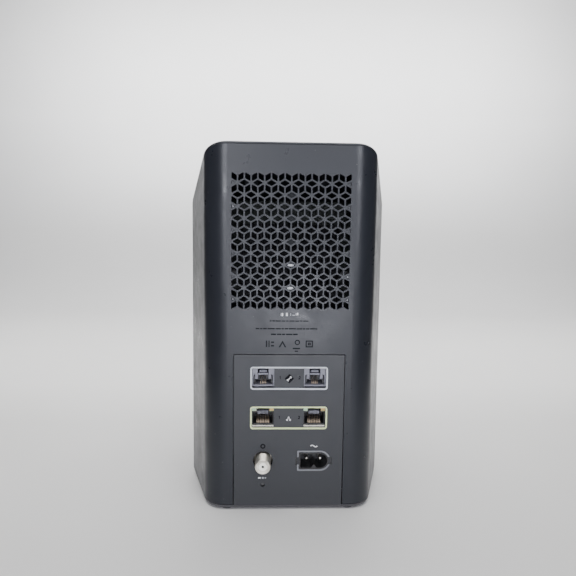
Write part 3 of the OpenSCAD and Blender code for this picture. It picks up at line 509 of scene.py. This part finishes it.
def vents():
    """(through holes, blind holes) as outlines in X and Z."""
    through, blind = [], []
    for row in range(GRILLE_ROWS):
        odd = row % 2
        for c in range(GRILLE_COLS - 1 + odd):
            x = (c - (GRILLE_COLS - 1) / 2 + (0 if odd else 0.5)) * RHOMB_W
            (blind if abs(x) < 0.01 else through).append(lying_rhomb(x, row_z(row)))
        if not odd:
            edge = (GRILLE_COLS * RHOMB_W - STRUT) / 2
            tip = GRILLE_COLS * RHOMB_W / 2 - (RHOMB_W / 2 - STRUT)
            rise = (edge - tip) / math.sqrt(3)
            for side in (-1, 1):
                blind.append([(side * tip, row_z(row)), (side * edge, row_z(row) + rise),
                              (side * edge, row_z(row) - rise)])
    for row in range(GRILLE_ROWS + 1):
        for c in range(2 * GRILLE_COLS):
            lean = -1 if (c + row) % 2 == 0 else 1
            through.append(standing_rhomb((c + 0.5 - GRILLE_COLS) * RHOMB_W / 2, row_z(row - 0.5), lean))
    return through, blind


def rounding(radius, foot, rising):
    """Rings of (inset, height function) for a quarter-round edge plus a close ring that keeps the wall flat."""
    close = 0.4
    steps = [math.pi / 6 * k for k in (3, 2, 1, 0)]
    sign = 1 if rising else -1
    rings = [(radius * (1 - math.cos(a)), lambda y, a=a: foot(y) + sign * radius * (1 - math.sin(a)))
             for a in steps]
    rings.append((0.0, lambda y: foot(y) + sign * (radius + close)))
    return rings if rising else rings[::-1]


def build_shell():
    """The outer sleeve, with a fine radius along its edges and round the mouth of every vent hole."""
    bm = bmesh.new()
    mouth, hole_r, blind_r = 0.16, 0.3, 0.2
    foot_r, brow_r = 0.45, 0.3
    rings = rounding(foot_r, lambda y: RIM_TOP, rising=True)
    low_flat = len(rings) - 1
    rings += rounding(brow_r, lambda y: slope_z(y, SHELL_SEAM), rising=False)
    high_flat = low_flat + 1
    rings += [(WALL, lambda y: slope_z(y, SHELL_SEAM)), (WALL, lambda y: RIM_TOP)]
    inner_high, inner_low = len(rings) - 2, len(rings) - 1
    grid = [[bm.verts.new((x, y, height(y))) for x, y in plan_points(inset)] for inset, height in rings]
    count = len(grid[0])
    closed = list(zip(grid, grid[1:] + grid[:1]))
    for low, high in closed:
        for k in range(count - 1):
            bm.faces.new([low[k], low[k + 1], high[k + 1], high[k]])

    # the rear flat joins the two ends of every ring, and holds the vent and the notch
    through, blind = vents()
    through = [filleted(h, hole_r) for h in through]
    blind = [filleted(h, blind_r) for h in blind]
    mouths = [grown(h, mouth) for h in through + blind]
    end_x = grid[0][0].co.x
    for ring_low, ring_high, holes, y in ((low_flat, high_flat, mouths, REAR_Y),
                                          (inner_low, inner_high, through, REAR_Y - WALL)):
        low, high = grid[ring_low][0].co.z, grid[ring_high][0].co.z
        outline = [(end_x, low), (end_x, high), (-end_x, high), (-end_x, low), (-NOTCH_HALF_W, low),
                   (-NOTCH_HALF_W, NOTCH_TOP), (NOTCH_HALF_W, NOTCH_TOP), (NOTCH_HALF_W, low)]
        sheet_with_holes(bm, outline, holes, on_rear(y))
    for low, high in closed[high_flat:inner_high]:
        bm.faces.new([low[-1], low[0], high[0], high[-1]])
    foot_rings = [inner_low] + list(range(low_flat + 1))
    for side, end in ((1, 0), (-1, -1)):
        wall = [grid[r][end].co for r in foot_rings]
        edge = [Vector((side * NOTCH_HALF_W, v.y, v.z)) for v in wall]
        for k in range(len(edge) - 1):
            add_face(bm, [edge[k], edge[k + 1], wall[k + 1], wall[k]])
        add_face(bm, edge + [(side * NOTCH_HALF_W, REAR_Y, NOTCH_TOP),
                             (side * NOTCH_HALF_W, REAR_Y - WALL, NOTCH_TOP)])
    add_face(bm, [(x, y, NOTCH_TOP) for x, y in
                  ((-NOTCH_HALF_W, REAR_Y), (NOTCH_HALF_W, REAR_Y),
                   (NOTCH_HALF_W, REAR_Y - WALL), (-NOTCH_HALF_W, REAR_Y - WALL))])

    # walls of the vent holes
    for k, hole in enumerate(through + blind):
        is_blind = k >= len(through)
        floor = BLIND_DEEP if is_blind else WALL
        add_rings(bm, [[(u, REAR_Y - deep, v) for u, v in loop] for loop, deep in
                       ((mouths[k], 0), (hole, mouth), (hole, floor))],
                  close_first=False, close_last=is_blind)
    return piece("shell_skin", bm, LOOKS["shell_plastic"], replaces=["outer_shell"])


def build_base_rim():
    """The base's rim, which curves in under the shell all the way round."""
    bow_top, reach, out, back, steps = RIM_TOP - 0.2, 1.39, 0.05, 1.7, 7
    profile = [(back, RIM_TOP - 0.05), (out, RIM_TOP - 0.05)]
    profile += [(out + reach * (1 - math.cos(a)), bow_top - (bow_top - RIM_LOW) * math.sin(a))
                for a in (math.pi / 2 * k / steps for k in range(steps + 1))]
    profile.append((back, RIM_LOW))
    bm = bmesh.new()
    add_rings(bm, [[(x, y, z) for x, y in plan_points(inset)] for inset, z in profile], endless=True)
    return piece("base_rim", bm, RIM_GLOSS, sharp_deg=40)


build_shell()
build_base_rim()


# ------------------------------------------------------------------ small solids

def moved(outline, x, z):
    return [(x + u, z + v) for u, v in outline]


def rectangle(x, z, half_w, half_h):
    return moved([(-half_w, -half_h), (half_w, -half_h), (half_w, half_h), (-half_w, half_h)], x, z)


def disc(x, z, radius, steps=28):
    return [(x + radius * math.cos(2 * math.pi * k / steps), z + radius * math.sin(2 * math.pi * k / steps))
            for k in range(steps)]


def add_prism(bm, outline, back, front, edge=0.0):
    """A closed prism from an outline in X and Z, with its rear-facing edge chamfered if edge is given."""
    rings = [[(u, back, v) for u, v in outline], [(u, front - edge, v) for u, v in outline]]
    if edge:
        rings.append([(u, front, v) for u, v in grown(outline, -edge)])
    add_rings(bm, rings)


def add_frame(bm, outer, inner, back, front):
    """A closed prism with a hole through it; both outlines have as many points."""
    add_rings(bm, [[(u, y, v) for u, v in loop] for loop, y in
                   ((outer, back), (outer, front), (inner, front), (inner, back))], endless=True)


def add_block_with_mouth(bm, outline, mouth, back, front, deep, edge=0.18):
    """A block whose rear face has a chamfered, blind mouth in it."""
    wide = grown(mouth, edge)
    sheet_with_holes(bm, outline, [wide], on_rear(front))
    add_rings(bm, [[(u, y, v) for u, v in loop] for loop, y in
                   ((wide, front), (mouth, front - edge), (mouth, front - deep))], close_first=False)
    add_rings(bm, [[(u, y, v) for u, v in outline] for y in (front, back)], close_first=False)


def add_strip(bm, x, path, width, thick):
    """A flat spring that runs along a path of (y, z) points."""
    rings = []
    for k, (y, z) in enumerate(path):
        along = (Vector(path[min(k + 1, len(path) - 1)]) - Vector(path[max(k - 1, 0)])).normalized()
        off = Vector((-along.y, along.x)) * thick / 2
        rings.append([(x + a * width / 2, y + b * off.x, z + b * off.y)
                      for a, b in ((-1, -1), (1, -1), (1, 1), (-1, 1))])
    add_rings(bm, rings)


def stroke(points, width):
    """The outline of a line of even width through the points."""
    sides = []
    for k in range(len(points)):
        here = Vector(points[k])
        into = (here - Vector(points[k - 1])).normalized() if k else None
        away = (Vector(points[k + 1]) - here).normalized() if k < len(points) - 1 else None
        into, away = into or away, away or into
        n1, n2 = Vector((-into.y, into.x)), Vector((-away.y, away.x))
        sides.append((n1 + n2) * (width / 2 / (1 + n1.dot(n2))))
    left = [tuple(Vector(p) + s) for p, s in zip(points, sides)]
    right = [tuple(Vector(p) - s) for p, s in zip(points, sides)]
    return right + left[::-1]


# ------------------------------------------------------------------ coaxial connector

THREAD_PITCH = 0.794
THREAD_DEEP = 0.32
THREAD_ROWS = 140
COAX_R = 4.73
COLLAR_R = 5.65
BORE_R = 2.5
CORE_R = 2.48
PIN_HOLE_R = 0.8
PIN_ROOM_R = 0.95


def build_coax():
    """Flange, hexagon and collar inside the panel, then the threaded barrel."""
    back, tip = coax_low.y, coax_high.y
    flange_end, nut_end, collar_y = back + 5.95, back + 8.95, PANEL_FACE_Y - 5.2
    flat_r, lip_r, bevel = 3.5, 3.4, 0.3
    steps = 72
    angles = [2 * math.pi * k / steps for k in range(steps)]

    def ring(y, radius):
        spread = radius if callable(radius) else lambda a: radius
        return [(COAX_X + spread(a) * math.cos(a), y, COAX_Z + spread(a) * math.sin(a)) for a in angles]

    def sided(flat, sides, corner):
        part = 2 * math.pi / sides
        return lambda a: min(flat / math.cos((a + part / 2) % part - part / 2), corner)

    square = sided(6.5, 4, 8.78)
    hexagon = sided(5.37, 6, 6.2)

    def nut(a):
        return max(hexagon(a), COLLAR_R)

    def thread(y):
        fade = min(1, (y - collar_y) / 0.5, (tip - y) / 0.9)
        top = min(COAX_R, COAX_R - 0.5 + (tip - y))
        return lambda a: top - THREAD_DEEP * fade * (0.5 - 0.5 * math.cos(2 * math.pi * y / THREAD_PITCH - a))

    rings = [ring(back, BORE_R), ring(back, square), ring(flange_end, square), ring(flange_end, nut),
             ring(nut_end, nut), ring(nut_end, COLLAR_R),
             ring(collar_y - bevel, COLLAR_R), ring(collar_y, COLLAR_R - bevel)]
    rings += [ring(y, thread(y)) for y in
              (collar_y + (tip - collar_y) * k / THREAD_ROWS for k in range(THREAD_ROWS + 1))]
    rings += [ring(tip, flat_r), ring(tip - 0.1, lip_r), ring(tip - 0.35, lip_r), ring(tip - 0.35, BORE_R)]
    bm = bmesh.new()
    add_rings(bm, rings, endless=True)
    return piece("coax_threaded", bm, LOOKS["nickel_brass"], replaces=["coax_connector"],
                 sharp_deg=50)


def build_insulator():
    """The cream plastic core with its flared mouth, bored behind for the centre contact, and a dark plug deep
    in its hole that paints the shade there.
    """
    low, high = box_mm("coax_insulator")
    edge, flare, hole_end = 0.1, 0.3, 5.7
    profile = [(low.y, CORE_R), (high.y - edge, CORE_R), (high.y, CORE_R - edge), (high.y, PIN_ROOM_R),
               (high.y - flare, PIN_HOLE_R), (high.y - hole_end, PIN_HOLE_R),
               (high.y - hole_end - 0.05, PIN_ROOM_R), (low.y, PIN_ROOM_R)]
    bm = bmesh.new()
    add_rings(bm, [[(u, y, v) for u, v in disc(COAX_X, COAX_Z, r, 48)] for y, r in profile], endless=True)
    # a dark plug inside the centre hole paints the shade deep in it
    hole_shade = bmesh.new()
    add_prism(hole_shade, disc(COAX_X, COAX_Z, PIN_HOLE_R - 0.01), high.y - 5, high.y - 0.7)
    piece("coax_hole_painted_shade", hole_shade, RECESS_SHADE_PAINT)
    return piece("coax_core", bm, LOOKS["cream_plastic"], replaces=["coax_insulator"])


build_coax()
build_insulator()


# ------------------------------------------------------------------ sockets

MOUTH_DEEP = 13
CARRIER_DEEP = 12.6
COMB_PITCH = 0.83
CONTACT_PITCH = 1.02
CONTACT_THICK = 0.3
SPRING_PATH = [(-0.9, -4.15), (-1.2, -3.75), (-2.6, -2.4), (-4.2, -0.9), (-6.2, 0.5), (-8.6, 1.5), (-10.5, 1.7)]
PHONE_MOUTH = [(-5.9, -4.75), (5.9, -4.75), (5.9, 1.0), (5.1, 1.7), (3.3, 1.7), (3.3, 4.7), (2.8, 5.5),
               (-2.8, 5.5), (-3.3, 4.7), (-3.3, 1.7), (-5.1, 1.7), (-5.9, 1.0)]
ETHERNET_MOUTH = [(-5.9, -4.35), (5.9, -4.35), (5.9, 2.4), (3.5, 2.4), (3.5, 5.6), (-3.5, 5.6), (-3.5, 2.4),
                  (-5.9, 2.4)]
LENS_NOTCH = (4.05, 3.5)


def jack_span(node):
    low, high = box_mm(node)
    return (low.x + high.x) / 2, (high.x - low.x) / 2, low, high


def build_phone_jack(number):
    """A telephone socket: lip below, shoulders beside the contacts, a shelf and a latch tongue above."""
    node = f"phone_jack_{number}"
    x, half_w, low, high = jack_span(node)
    face, z = high.y, PHONE_Z
    back = face - CARRIER_DEEP
    bm = bmesh.new()
    lip_z = -5.5
    top = high.z - z
    outline = filleted([(-half_w, lip_z), (half_w, lip_z), (half_w, top), (-half_w, top)], 0.25)
    add_block_with_mouth(bm, moved(outline, x, z), moved(PHONE_MOUTH, x, z), low.y, face, MOUTH_DEEP)
    add_prism(bm, rectangle(x, (low.z + z + lip_z) / 2, half_w - 0.05, (z + lip_z - low.z) / 2 - 0.02), low.y,
              face - 3, 0.2)
    for half_x, z0, z1, front, edge in ((3.15, 1.15, 2.35, 1.1, 0.25), (2.3, 3.1, 4.2, 0.5, 0.3)):
        add_prism(bm, filleted(rectangle(x, z + (z0 + z1) / 2, half_x, (z1 - z0) / 2), 0.2), back,
                  face - front, edge)
    for side in (-1, 1):
        add_prism(bm, filleted(rectangle(x + side * 4.05, z + 0.25, 0.95, 1.7), 0.25), back, face - 0.6, 0.35)
    return piece(f"{node}_moulding", bm, LOOKS["jack_grey"], replaces=[node])


def build_ethernet_jack(number):
    """A network socket's black body, notched at the top corners for its two lights."""
    node = f"ethernet_jack_{number}"
    x, half_w, low, high = jack_span(node)
    face, z = high.y, ETHERNET_Z
    bottom, top = low.z - z, high.z - z
    notch_x, notch_z = LENS_NOTCH
    outline = [(-half_w, bottom), (half_w, bottom), (half_w, notch_z), (notch_x, notch_z), (notch_x, top),
               (-notch_x, top), (-notch_x, notch_z), (-half_w, notch_z)]
    bm = bmesh.new()
    add_block_with_mouth(bm, moved(outline, x, z), moved(ETHERNET_MOUTH, x, z), low.y, face, MOUTH_DEEP)
    return piece(f"{node}_moulding", bm, LOOKS["black_plastic"], replaces=[node])


def build_latch_combs():
    """Pale combs above the contacts of the network sockets."""
    face = box_mm("ethernet_jack_1")[1].y
    bm = bmesh.new()
    for x in (-JACK_X, JACK_X):
        for k in range(8):
            add_prism(bm, rectangle(x + (k - 3.5) * COMB_PITCH, ETHERNET_Z + 2.4, 0.25, 1.05),
                      face - 4.5, face - 0.7, 0.1)
    return piece("latch_combs", bm, LOOKS["jack_grey"])


def build_springs(name, z, per_jack, width, node):
    """Contact springs that rise from the front of each socket's floor to its back."""
    face = box_mm("phone_jack_1")[1].y
    bm = bmesh.new()
    for x in (-JACK_X, JACK_X):
        for k in range(per_jack):
            add_strip(bm, x + (k - (per_jack - 1) / 2) * CONTACT_PITCH,
                      [(face + y, z + v) for y, v in SPRING_PATH], width, CONTACT_THICK)
    return piece(name, bm, LOOKS["gold_contact"], replaces=[node])


def build_carriers():
    """Contact carriers inside all four sockets, made black to paint the shade deep in each socket."""
    face = box_mm("phone_jack_1")[1].y
    bm = bmesh.new()
    for x in (-JACK_X, JACK_X):
        add_prism(bm, rectangle(x, ETHERNET_Z + 2.4, 3.4, 1.1), face - CARRIER_DEEP, face - 3.6)
        add_prism(bm, rectangle(x, PHONE_Z - 1.4, 5.85, 2.9), face - 12.8, face - 8.8, 0.3)
        for side in (-1, 1):
            add_prism(bm, rectangle(x + side * 5.2, PHONE_Z - 1.8, 0.65, 2.5), face - 9, face - 2.4, 0.2)
    return piece("contact_carriers_painted_shade", bm, LOOKS["black_plastic"])


for number in (1, 2):
    build_phone_jack(number)
    build_ethernet_jack(number)
build_latch_combs()
build_carriers()
build_springs("phone_springs", PHONE_Z, 4, 0.36, "phone_jack_contacts")
build_springs("ethernet_springs", ETHERNET_Z, 8, 0.55, "ethernet_jack_contacts")


# ------------------------------------------------------------------ printing

INK_PROUD = 0.03
INK_DEEP = 0.08


def printed(name, look, face_y, outlines=(), rings=()):
    """Ink marks on a face that looks to the rear: outlines and (outer, inner) rings in X and Z."""
    bm = bmesh.new()
    for outline in outlines:
        add_prism(bm, outline, face_y - INK_DEEP, face_y + INK_PROUD)
    for outer, inner in rings:
        add_frame(bm, outer, inner, face_y - INK_DEEP, face_y + INK_PROUD)
    return piece(name, bm, look)


def numeral_one(x, z):
    return [stroke([(x + 0.45, z + 0.45), (x, z + 0.85), (x, z - 0.85)], 0.36)]


def numeral_two(x, z):
    curve = [(x + 0.45 * math.cos(a), z + 0.4 + 0.45 * math.sin(a))
             for a in (math.radians(d) for d in (10, 50, 90, 130, 170, 210))]
    return [stroke(curve + [(x + 0.5, z - 0.7), (x - 0.55, z - 0.7)], 0.34)]


def wavy(x, z, half_w, rise, width):
    return stroke([(x + half_w * t / 8, z + rise * math.sin(math.pi * t / 8)) for t in range(-8, 9)], width)


def dashes(x, z, half_w, half_h, lengths, gap=0.45):
    """A broken line whose dashes repeat the given lengths from one end to the other."""
    out, at, k = [], x - half_w, 0
    while at < x + half_w - 0.6:
        end = min(at + lengths[k % len(lengths)], x + half_w)
        out.append(rectangle((at + end) / 2, z, (end - at) / 2, half_h))
        at, k = end + gap, k + 1
    return out


DIAMOND = [(0, 2.85), (-2.85, 0), (0, -2.85), (2.85, 0)]
RING_MARK = (15.6, 40.6)
WAVE_MARK = (-15.7, 40.7)
RESET_BARS_Z = 20.45
CARET = [(4.3, 106.4), (2.0, 102.3), (2.9, 102.3), (4.3, 104.9), (5.7, 102.3), (6.6, 102.3)]
HOOP = (-4.6, 105.3)
SQUARE = (-11.8, 104.4)

printed("phone_mark_ground", DARK_INK, PANEL_FACE_Y, [moved(DIAMOND, -0.1, PHONE_Z - 0.3)])
printed("phone_mark", WHITE_INK, PANEL_FACE_Y + INK_PROUD, [
    stroke([(-0.95, PHONE_Z + 0.6), (0.85, PHONE_Z - 1.1)], 0.55),
    stroke([(-1.4, PHONE_Z + 0.2), (-0.6, PHONE_Z + 1.1)], 0.8),
    stroke([(0.4, PHONE_Z - 1.6), (1.3, PHONE_Z - 0.75)], 0.8)])
net_top, net_low = ETHERNET_Z + 0.3, ETHERNET_Z - 1.25
printed("network_mark", WHITE_INK, PANEL_FACE_Y, [
    disc(0.05, net_top, 0.55), disc(0.95, net_low, 0.6), disc(-0.85, net_low, 0.6),
    stroke([(0.95, net_low), (0.05, net_top), (-0.85, net_low)], 0.5)])
printed("port_numerals", DARK_INK, PANEL_FACE_Y,
        numeral_one(5.4, PHONE_Z + 0.3) + numeral_two(-6.3, PHONE_Z + 0.3)
        + numeral_one(5.6, ETHERNET_Z + 0.2) + numeral_two(-6.35, ETHERNET_Z + 0.2))
printed("coax_mark", DARK_INK, PANEL_FACE_Y, rings=[(disc(*RING_MARK, 1.6), disc(*RING_MARK, 0.75))])
printed("mains_mark", WHITE_INK, PANEL_FACE_Y, [wavy(*WAVE_MARK, 2.1, 0.5, 0.62)])
printed("reset_bars", WHITE_INK, PANEL_FACE_Y, [rectangle(17.6, RESET_BARS_Z, 0.75, 0.45)])
printed("reset_pale_bars", PALE_INK, PANEL_FACE_Y, [
    rectangle(15.5, RESET_BARS_Z, 0.6, 0.5), rectangle(13.9, RESET_BARS_Z - 0.05, 0.45, 0.35)])
printed("shell_white_bars", WHITE_INK, REAR_Y, [
    rectangle(4.5, 122.2, 0.35, 0.9), rectangle(1.9, 122.3, 0.5, 1.0), rectangle(-4.5, 122.6, 0.4, 0.7)])
printed("shell_pale_bars", PALE_INK, REAR_Y, [
    rectangle(5.3, 122.2, 0.3, 0.9), rectangle(-0.4, 122.3, 0.25, 0.8), rectangle(-2.2, 121.8, 0.8, 0.3),
    rectangle(-3.6, 122.4, 0.3, 0.7)])

printed("shell_dark_lines", DARK_INK, REAR_Y,
        dashes(0.6, 118.3, 11.6, 0.3, (3.1, 1.5, 2.3)) + dashes(2.0, 113.6, 18.5, 0.33, (4.3, 2.1, 1.4, 3.2))
        + dashes(3.3, 110.2, 8.0, 0.38, (2.7, 3.9, 1.8)))
printed("shell_plain_shapes", DARK_INK, REAR_Y, [
    rectangle(13.9, 104.4, 0.4, 2.0), rectangle(12.4, 104.4, 0.3, 2.0), rectangle(10.3, 105.4, 0.9, 0.4),
    rectangle(10.3, 103.2, 0.9, 0.4), CARET, rectangle(-4.1, 101.6, 2.2, 0.4), rectangle(-4.1, 99.9, 1.0, 0.4)],
    rings=[(disc(*HOOP, 1.6), disc(*HOOP, 1.0)),
           (rectangle(*SQUARE, 2.2, 2.1), rectangle(*SQUARE, 1.5, 1.4)),
           (rectangle(*SQUARE, 0.9, 0.85), rectangle(*SQUARE, 0.3, 0.25))])


# ------------------------------------------------------------------ painted glints

def build_painted_glints():
    """Glossy domes in some of the blind holes, whose pale grey paints the bright glints in these holes."""
    bm = bmesh.new()
    floor = REAR_Y - BLIND_DEEP
    steps = 24
    dome = ((1, -0.05), (1, 0.1), (0.85, 0.32), (0.55, 0.5), (0.2, 0.58))
    edge_x = GRILLE_COLS * RHOMB_W / 2 - 1.35
    spots = [(0, 7, 1.9, 0.85), (0, 9, 1.9, 0.85)]
    spots += [(edge_x, 2, 0.4, 0.4), (-edge_x, 8, 0.45, 0.45), (edge_x, 10, 0.35, 0.35),
              (-edge_x, 10, 0.45, 0.45)]
    for x, row, half_w, half_h in spots:
        rings = [[(x + half_w * s * math.cos(a), floor + h, row_z(row) + half_h * s * math.sin(a))
                  for a in (2 * math.pi * k / steps for k in range(steps))] for s, h in dome]
        add_rings(bm, rings)
    return piece("painted_glint_domes", bm, GLINT_PAINT_GREY)


def build_blind_floor_shade():
    """Dark inserts on the floors of the blind holes on the centre line, which paint the shade in these
    recesses.
    """
    bm = bmesh.new()
    floor = REAR_Y - BLIND_DEEP
    for row in range(1, GRILLE_ROWS, 2):
        add_prism(bm, filleted(lying_rhomb(0, row_z(row)), 0.2), floor - 0.3, floor + 0.04)
    return piece("blind_floor_painted_shade", bm, RECESS_SHADE_PAINT)


build_painted_glints()
build_blind_floor_shade()


# ------------------------------------------------------------------ camera, floor and lights

CAMERA_YAW, CAMERA_PITCH, CAMERA_ROLL = (math.radians(a) for a in (2.244, 5.974, 0.729))
CAMERA_BACK, CAMERA_SIDE, CAMERA_Z = 331.019, 14.405, 172.84


def aim(obj, forward, roll=0.0):
    """Points an object's -Z along forward, with its Y as near up as the roll allows."""
    forward = forward.normalized()
    right = forward.cross(Vector((0, 0, 1))).normalized()
    up = right.cross(forward)
    across = right * math.cos(roll) + up * math.sin(roll)
    above = up * math.cos(roll) - right * math.sin(roll)
    basis = Matrix((across, above, -forward)).transposed()
    obj.rotation_mode = "QUATERNION"
    obj.rotation_quaternion = basis.to_quaternion()


camera = bpy.data.objects.new("camera", bpy.data.cameras.new("camera"))
bpy.context.scene.collection.objects.link(camera)
camera.data.sensor_width = 36
camera.data.lens = 35
camera.data.clip_start = 0.01
camera.location = Vector((CAMERA_SIDE, REAR_Y + CAMERA_BACK, CAMERA_Z)) * MM
aim(camera, Vector((-math.sin(CAMERA_YAW) * math.cos(CAMERA_PITCH),
                    -math.cos(CAMERA_YAW) * math.cos(CAMERA_PITCH), -math.sin(CAMERA_PITCH))), CAMERA_ROLL)
bpy.context.scene.camera = camera


def softbox(name, place, target, width, height, radiance, colour=(1, 1, 1), spread=180):
    """A rectangular light that the camera doesn't see, with the given radiance along its axis.

    A spread under 180 degrees acts as a grid in front of the light.
    """
    half = math.radians(spread) / 2
    share = 1.0
    if spread < 180:
        share = 2 * (math.sin(half) ** 2 / 2 - (half / 2 - math.sin(2 * half) / 4) / math.tan(half))
    light = bpy.data.lights.new(name, "AREA")
    light.shape = "RECTANGLE"
    light.size, light.size_y = width, height
    light.energy = radiance * width * height * math.pi * share
    light.color = colour
    light.spread = math.radians(spread)
    obj = bpy.data.objects.new(name, light)
    bpy.context.scene.collection.objects.link(obj)
    obj.location = place
    aim(obj, Vector(target) - Vector(place))
    obj.visible_camera = False
    return obj


SHEET_SPAN = (-0.2, 2.2)
SHEET_WIDENING = 0.53
SHEET_SIDE = (0.27, 0.34)
TABLE_TONE = (0.10, 0.095, 0.09)
# painted light and shade along the sheet: place along it, then brightness there
SHEET_PAINTED_LIGHT = (
    (-0.2, 0.81), (0.1, 0.80), (0.224, 0.91), (0.43, 0.89), (0.82, 0.83), (1.07, 0.78), (1.284, 0.757),
    (1.455, 0.787), (1.605, 0.847), (1.735, 0.95), (1.84, 0.92), (1.945, 0.847), (2.046, 0.79))


def build_floor():
    """A pale sheet: flat under the tower, then curving up well behind it."""
    bm = bmesh.new()
    reach, near_y, back_y, bend_r, rise, steps = 1.6, 1.8, -0.75, 0.5, 1.4, 24
    profile = [(near_y, 0.0), (back_y, 0.0)]
    profile += [(back_y - bend_r * math.sin(a), bend_r * (1 - math.cos(a)))
                for a in (math.pi / 2 * k / steps for k in range(1, steps + 1))]
    profile.append((back_y - bend_r, rise))
    strips = [[bm.verts.new((x, y, z)) for y, z in profile] for x in (-reach, reach)]
    for k in range(len(profile) - 1):
        bm.faces.new([strips[0][k], strips[0][k + 1], strips[1][k + 1], strips[1][k]])
    for face in bm.faces:
        face.smooth = True
    bmesh.ops.recalc_face_normals(bm, faces=bm.faces)
    mesh = bpy.data.meshes.new("floor")
    bm.to_mesh(mesh)
    bm.free()
    look = Look("floor_sheet")
    cloudy = look.noise(180, detail=3)
    fine = look.noise(1.5, detail=3)
    where = look.node("ShaderNodeSeparateXYZ", {"Vector": look.coords}).outputs
    # painted light and shade on the sheet, from the front of the floor to the top of the wall
    along = look.node("ShaderNodeMath", {0: where["Z"], 1: where["Y"]}, operation="SUBTRACT").outputs[0]
    painted_light = look.node("ShaderNodeValToRGB", {"Fac": look.span(along, 0, 1, *SHEET_SPAN)})
    stops = painted_light.color_ramp.elements
    while len(stops) < len(SHEET_PAINTED_LIGHT):
        stops.new(0.5)
    for stop, (at, tone) in zip(stops, SHEET_PAINTED_LIGHT):
        stop.position = (at - SHEET_SPAN[0]) / (SHEET_SPAN[1] - SHEET_SPAN[0])
        warm = 0.97 if at < 0.5 else 0.985 if at < 1.4 else 1.0
        stop.color = (tone, tone * (2 + warm) / 3, tone * warm, 1)
    paper = look.blend(look.span(cloudy, 0, 1), painted_light.outputs["Color"], (0.97, 0.97, 0.97), mode="MULTIPLY")
    # the sheet widens to the back; past its sides lies the darker table
    aside = look.node("ShaderNodeMath", {0: where["X"]}, operation="ABSOLUTE").outputs[0]
    spread = look.node("ShaderNodeMath", {0: where["Y"], 1: SHEET_WIDENING, 2: aside},
                       operation="MULTIPLY_ADD").outputs[0]
    mesh.materials.append(look.set(
        Base_Color=look.blend(look.span(spread, 0, 1, *SHEET_SIDE), paper, TABLE_TONE),
        Roughness=look.span(fine, 0.38, 0.5), Normal=look.bump(fine, 0.01)))
    obj = bpy.data.objects.new("floor", mesh)
    bpy.context.scene.collection.objects.link(obj)


build_floor()

world = bpy.data.worlds.new("studio")
bpy.context.scene.world = world
world.use_nodes = True
sky = world.node_tree.nodes["Background"].inputs
sky["Color"].default_value = (0.9, 0.93, 1.0, 1)
sky["Strength"].default_value = 0.12

COOL = (0.96, 0.98, 1.07)
softbox("low_glow", (0, 1.2, 0.004), (0, 1.201, 1), 0.2, 0.9, 9.0, COOL)
softbox("low_strip", (-0.04, 0.66, 0.05), (-0.03, 0, 0.06), 0.15, 0.09, 18.0, COOL)
softbox("left_window", (0.43, 1.4, 0.46), (0.04, 0.05, 0.27), 0.21, 0.5, 46.0, COOL, spread=36)
softbox("centre_wall", (-0.2, 1.6, 0.47), (0, 0, 0.2), 0.9, 0.56, 3.0, COOL)
softbox("right_window", (-0.59, 1.15, 0.46), (-0.04, 0.05, 0.27), 0.2, 0.56, 26.0, COOL, spread=36)
softbox("top", (0, 0.5, 1.4), (0, 0.35, 0), 1.4, 1.0, 3.5)
softbox("floor_wash", (0, -0.35, 1.2), (0, -0.351, 0), 1.6, 0.3, 4.4)
softbox("floor_pool", (-0.08, -0.36, 1.2), (-0.08, -0.361, 0), 1.6, 0.3, 15.0, spread=44)
softbox("wall_wash", (-0.15, -0.45, 1.15), (-0.15, -1.4, 0.65), 1.7, 0.25, 10.0)
softbox("wall_pool", (-0.1, -0.5, 0.95), (-0.08, -1.25, 0.56), 1.5, 0.25, 40.0, spread=56)
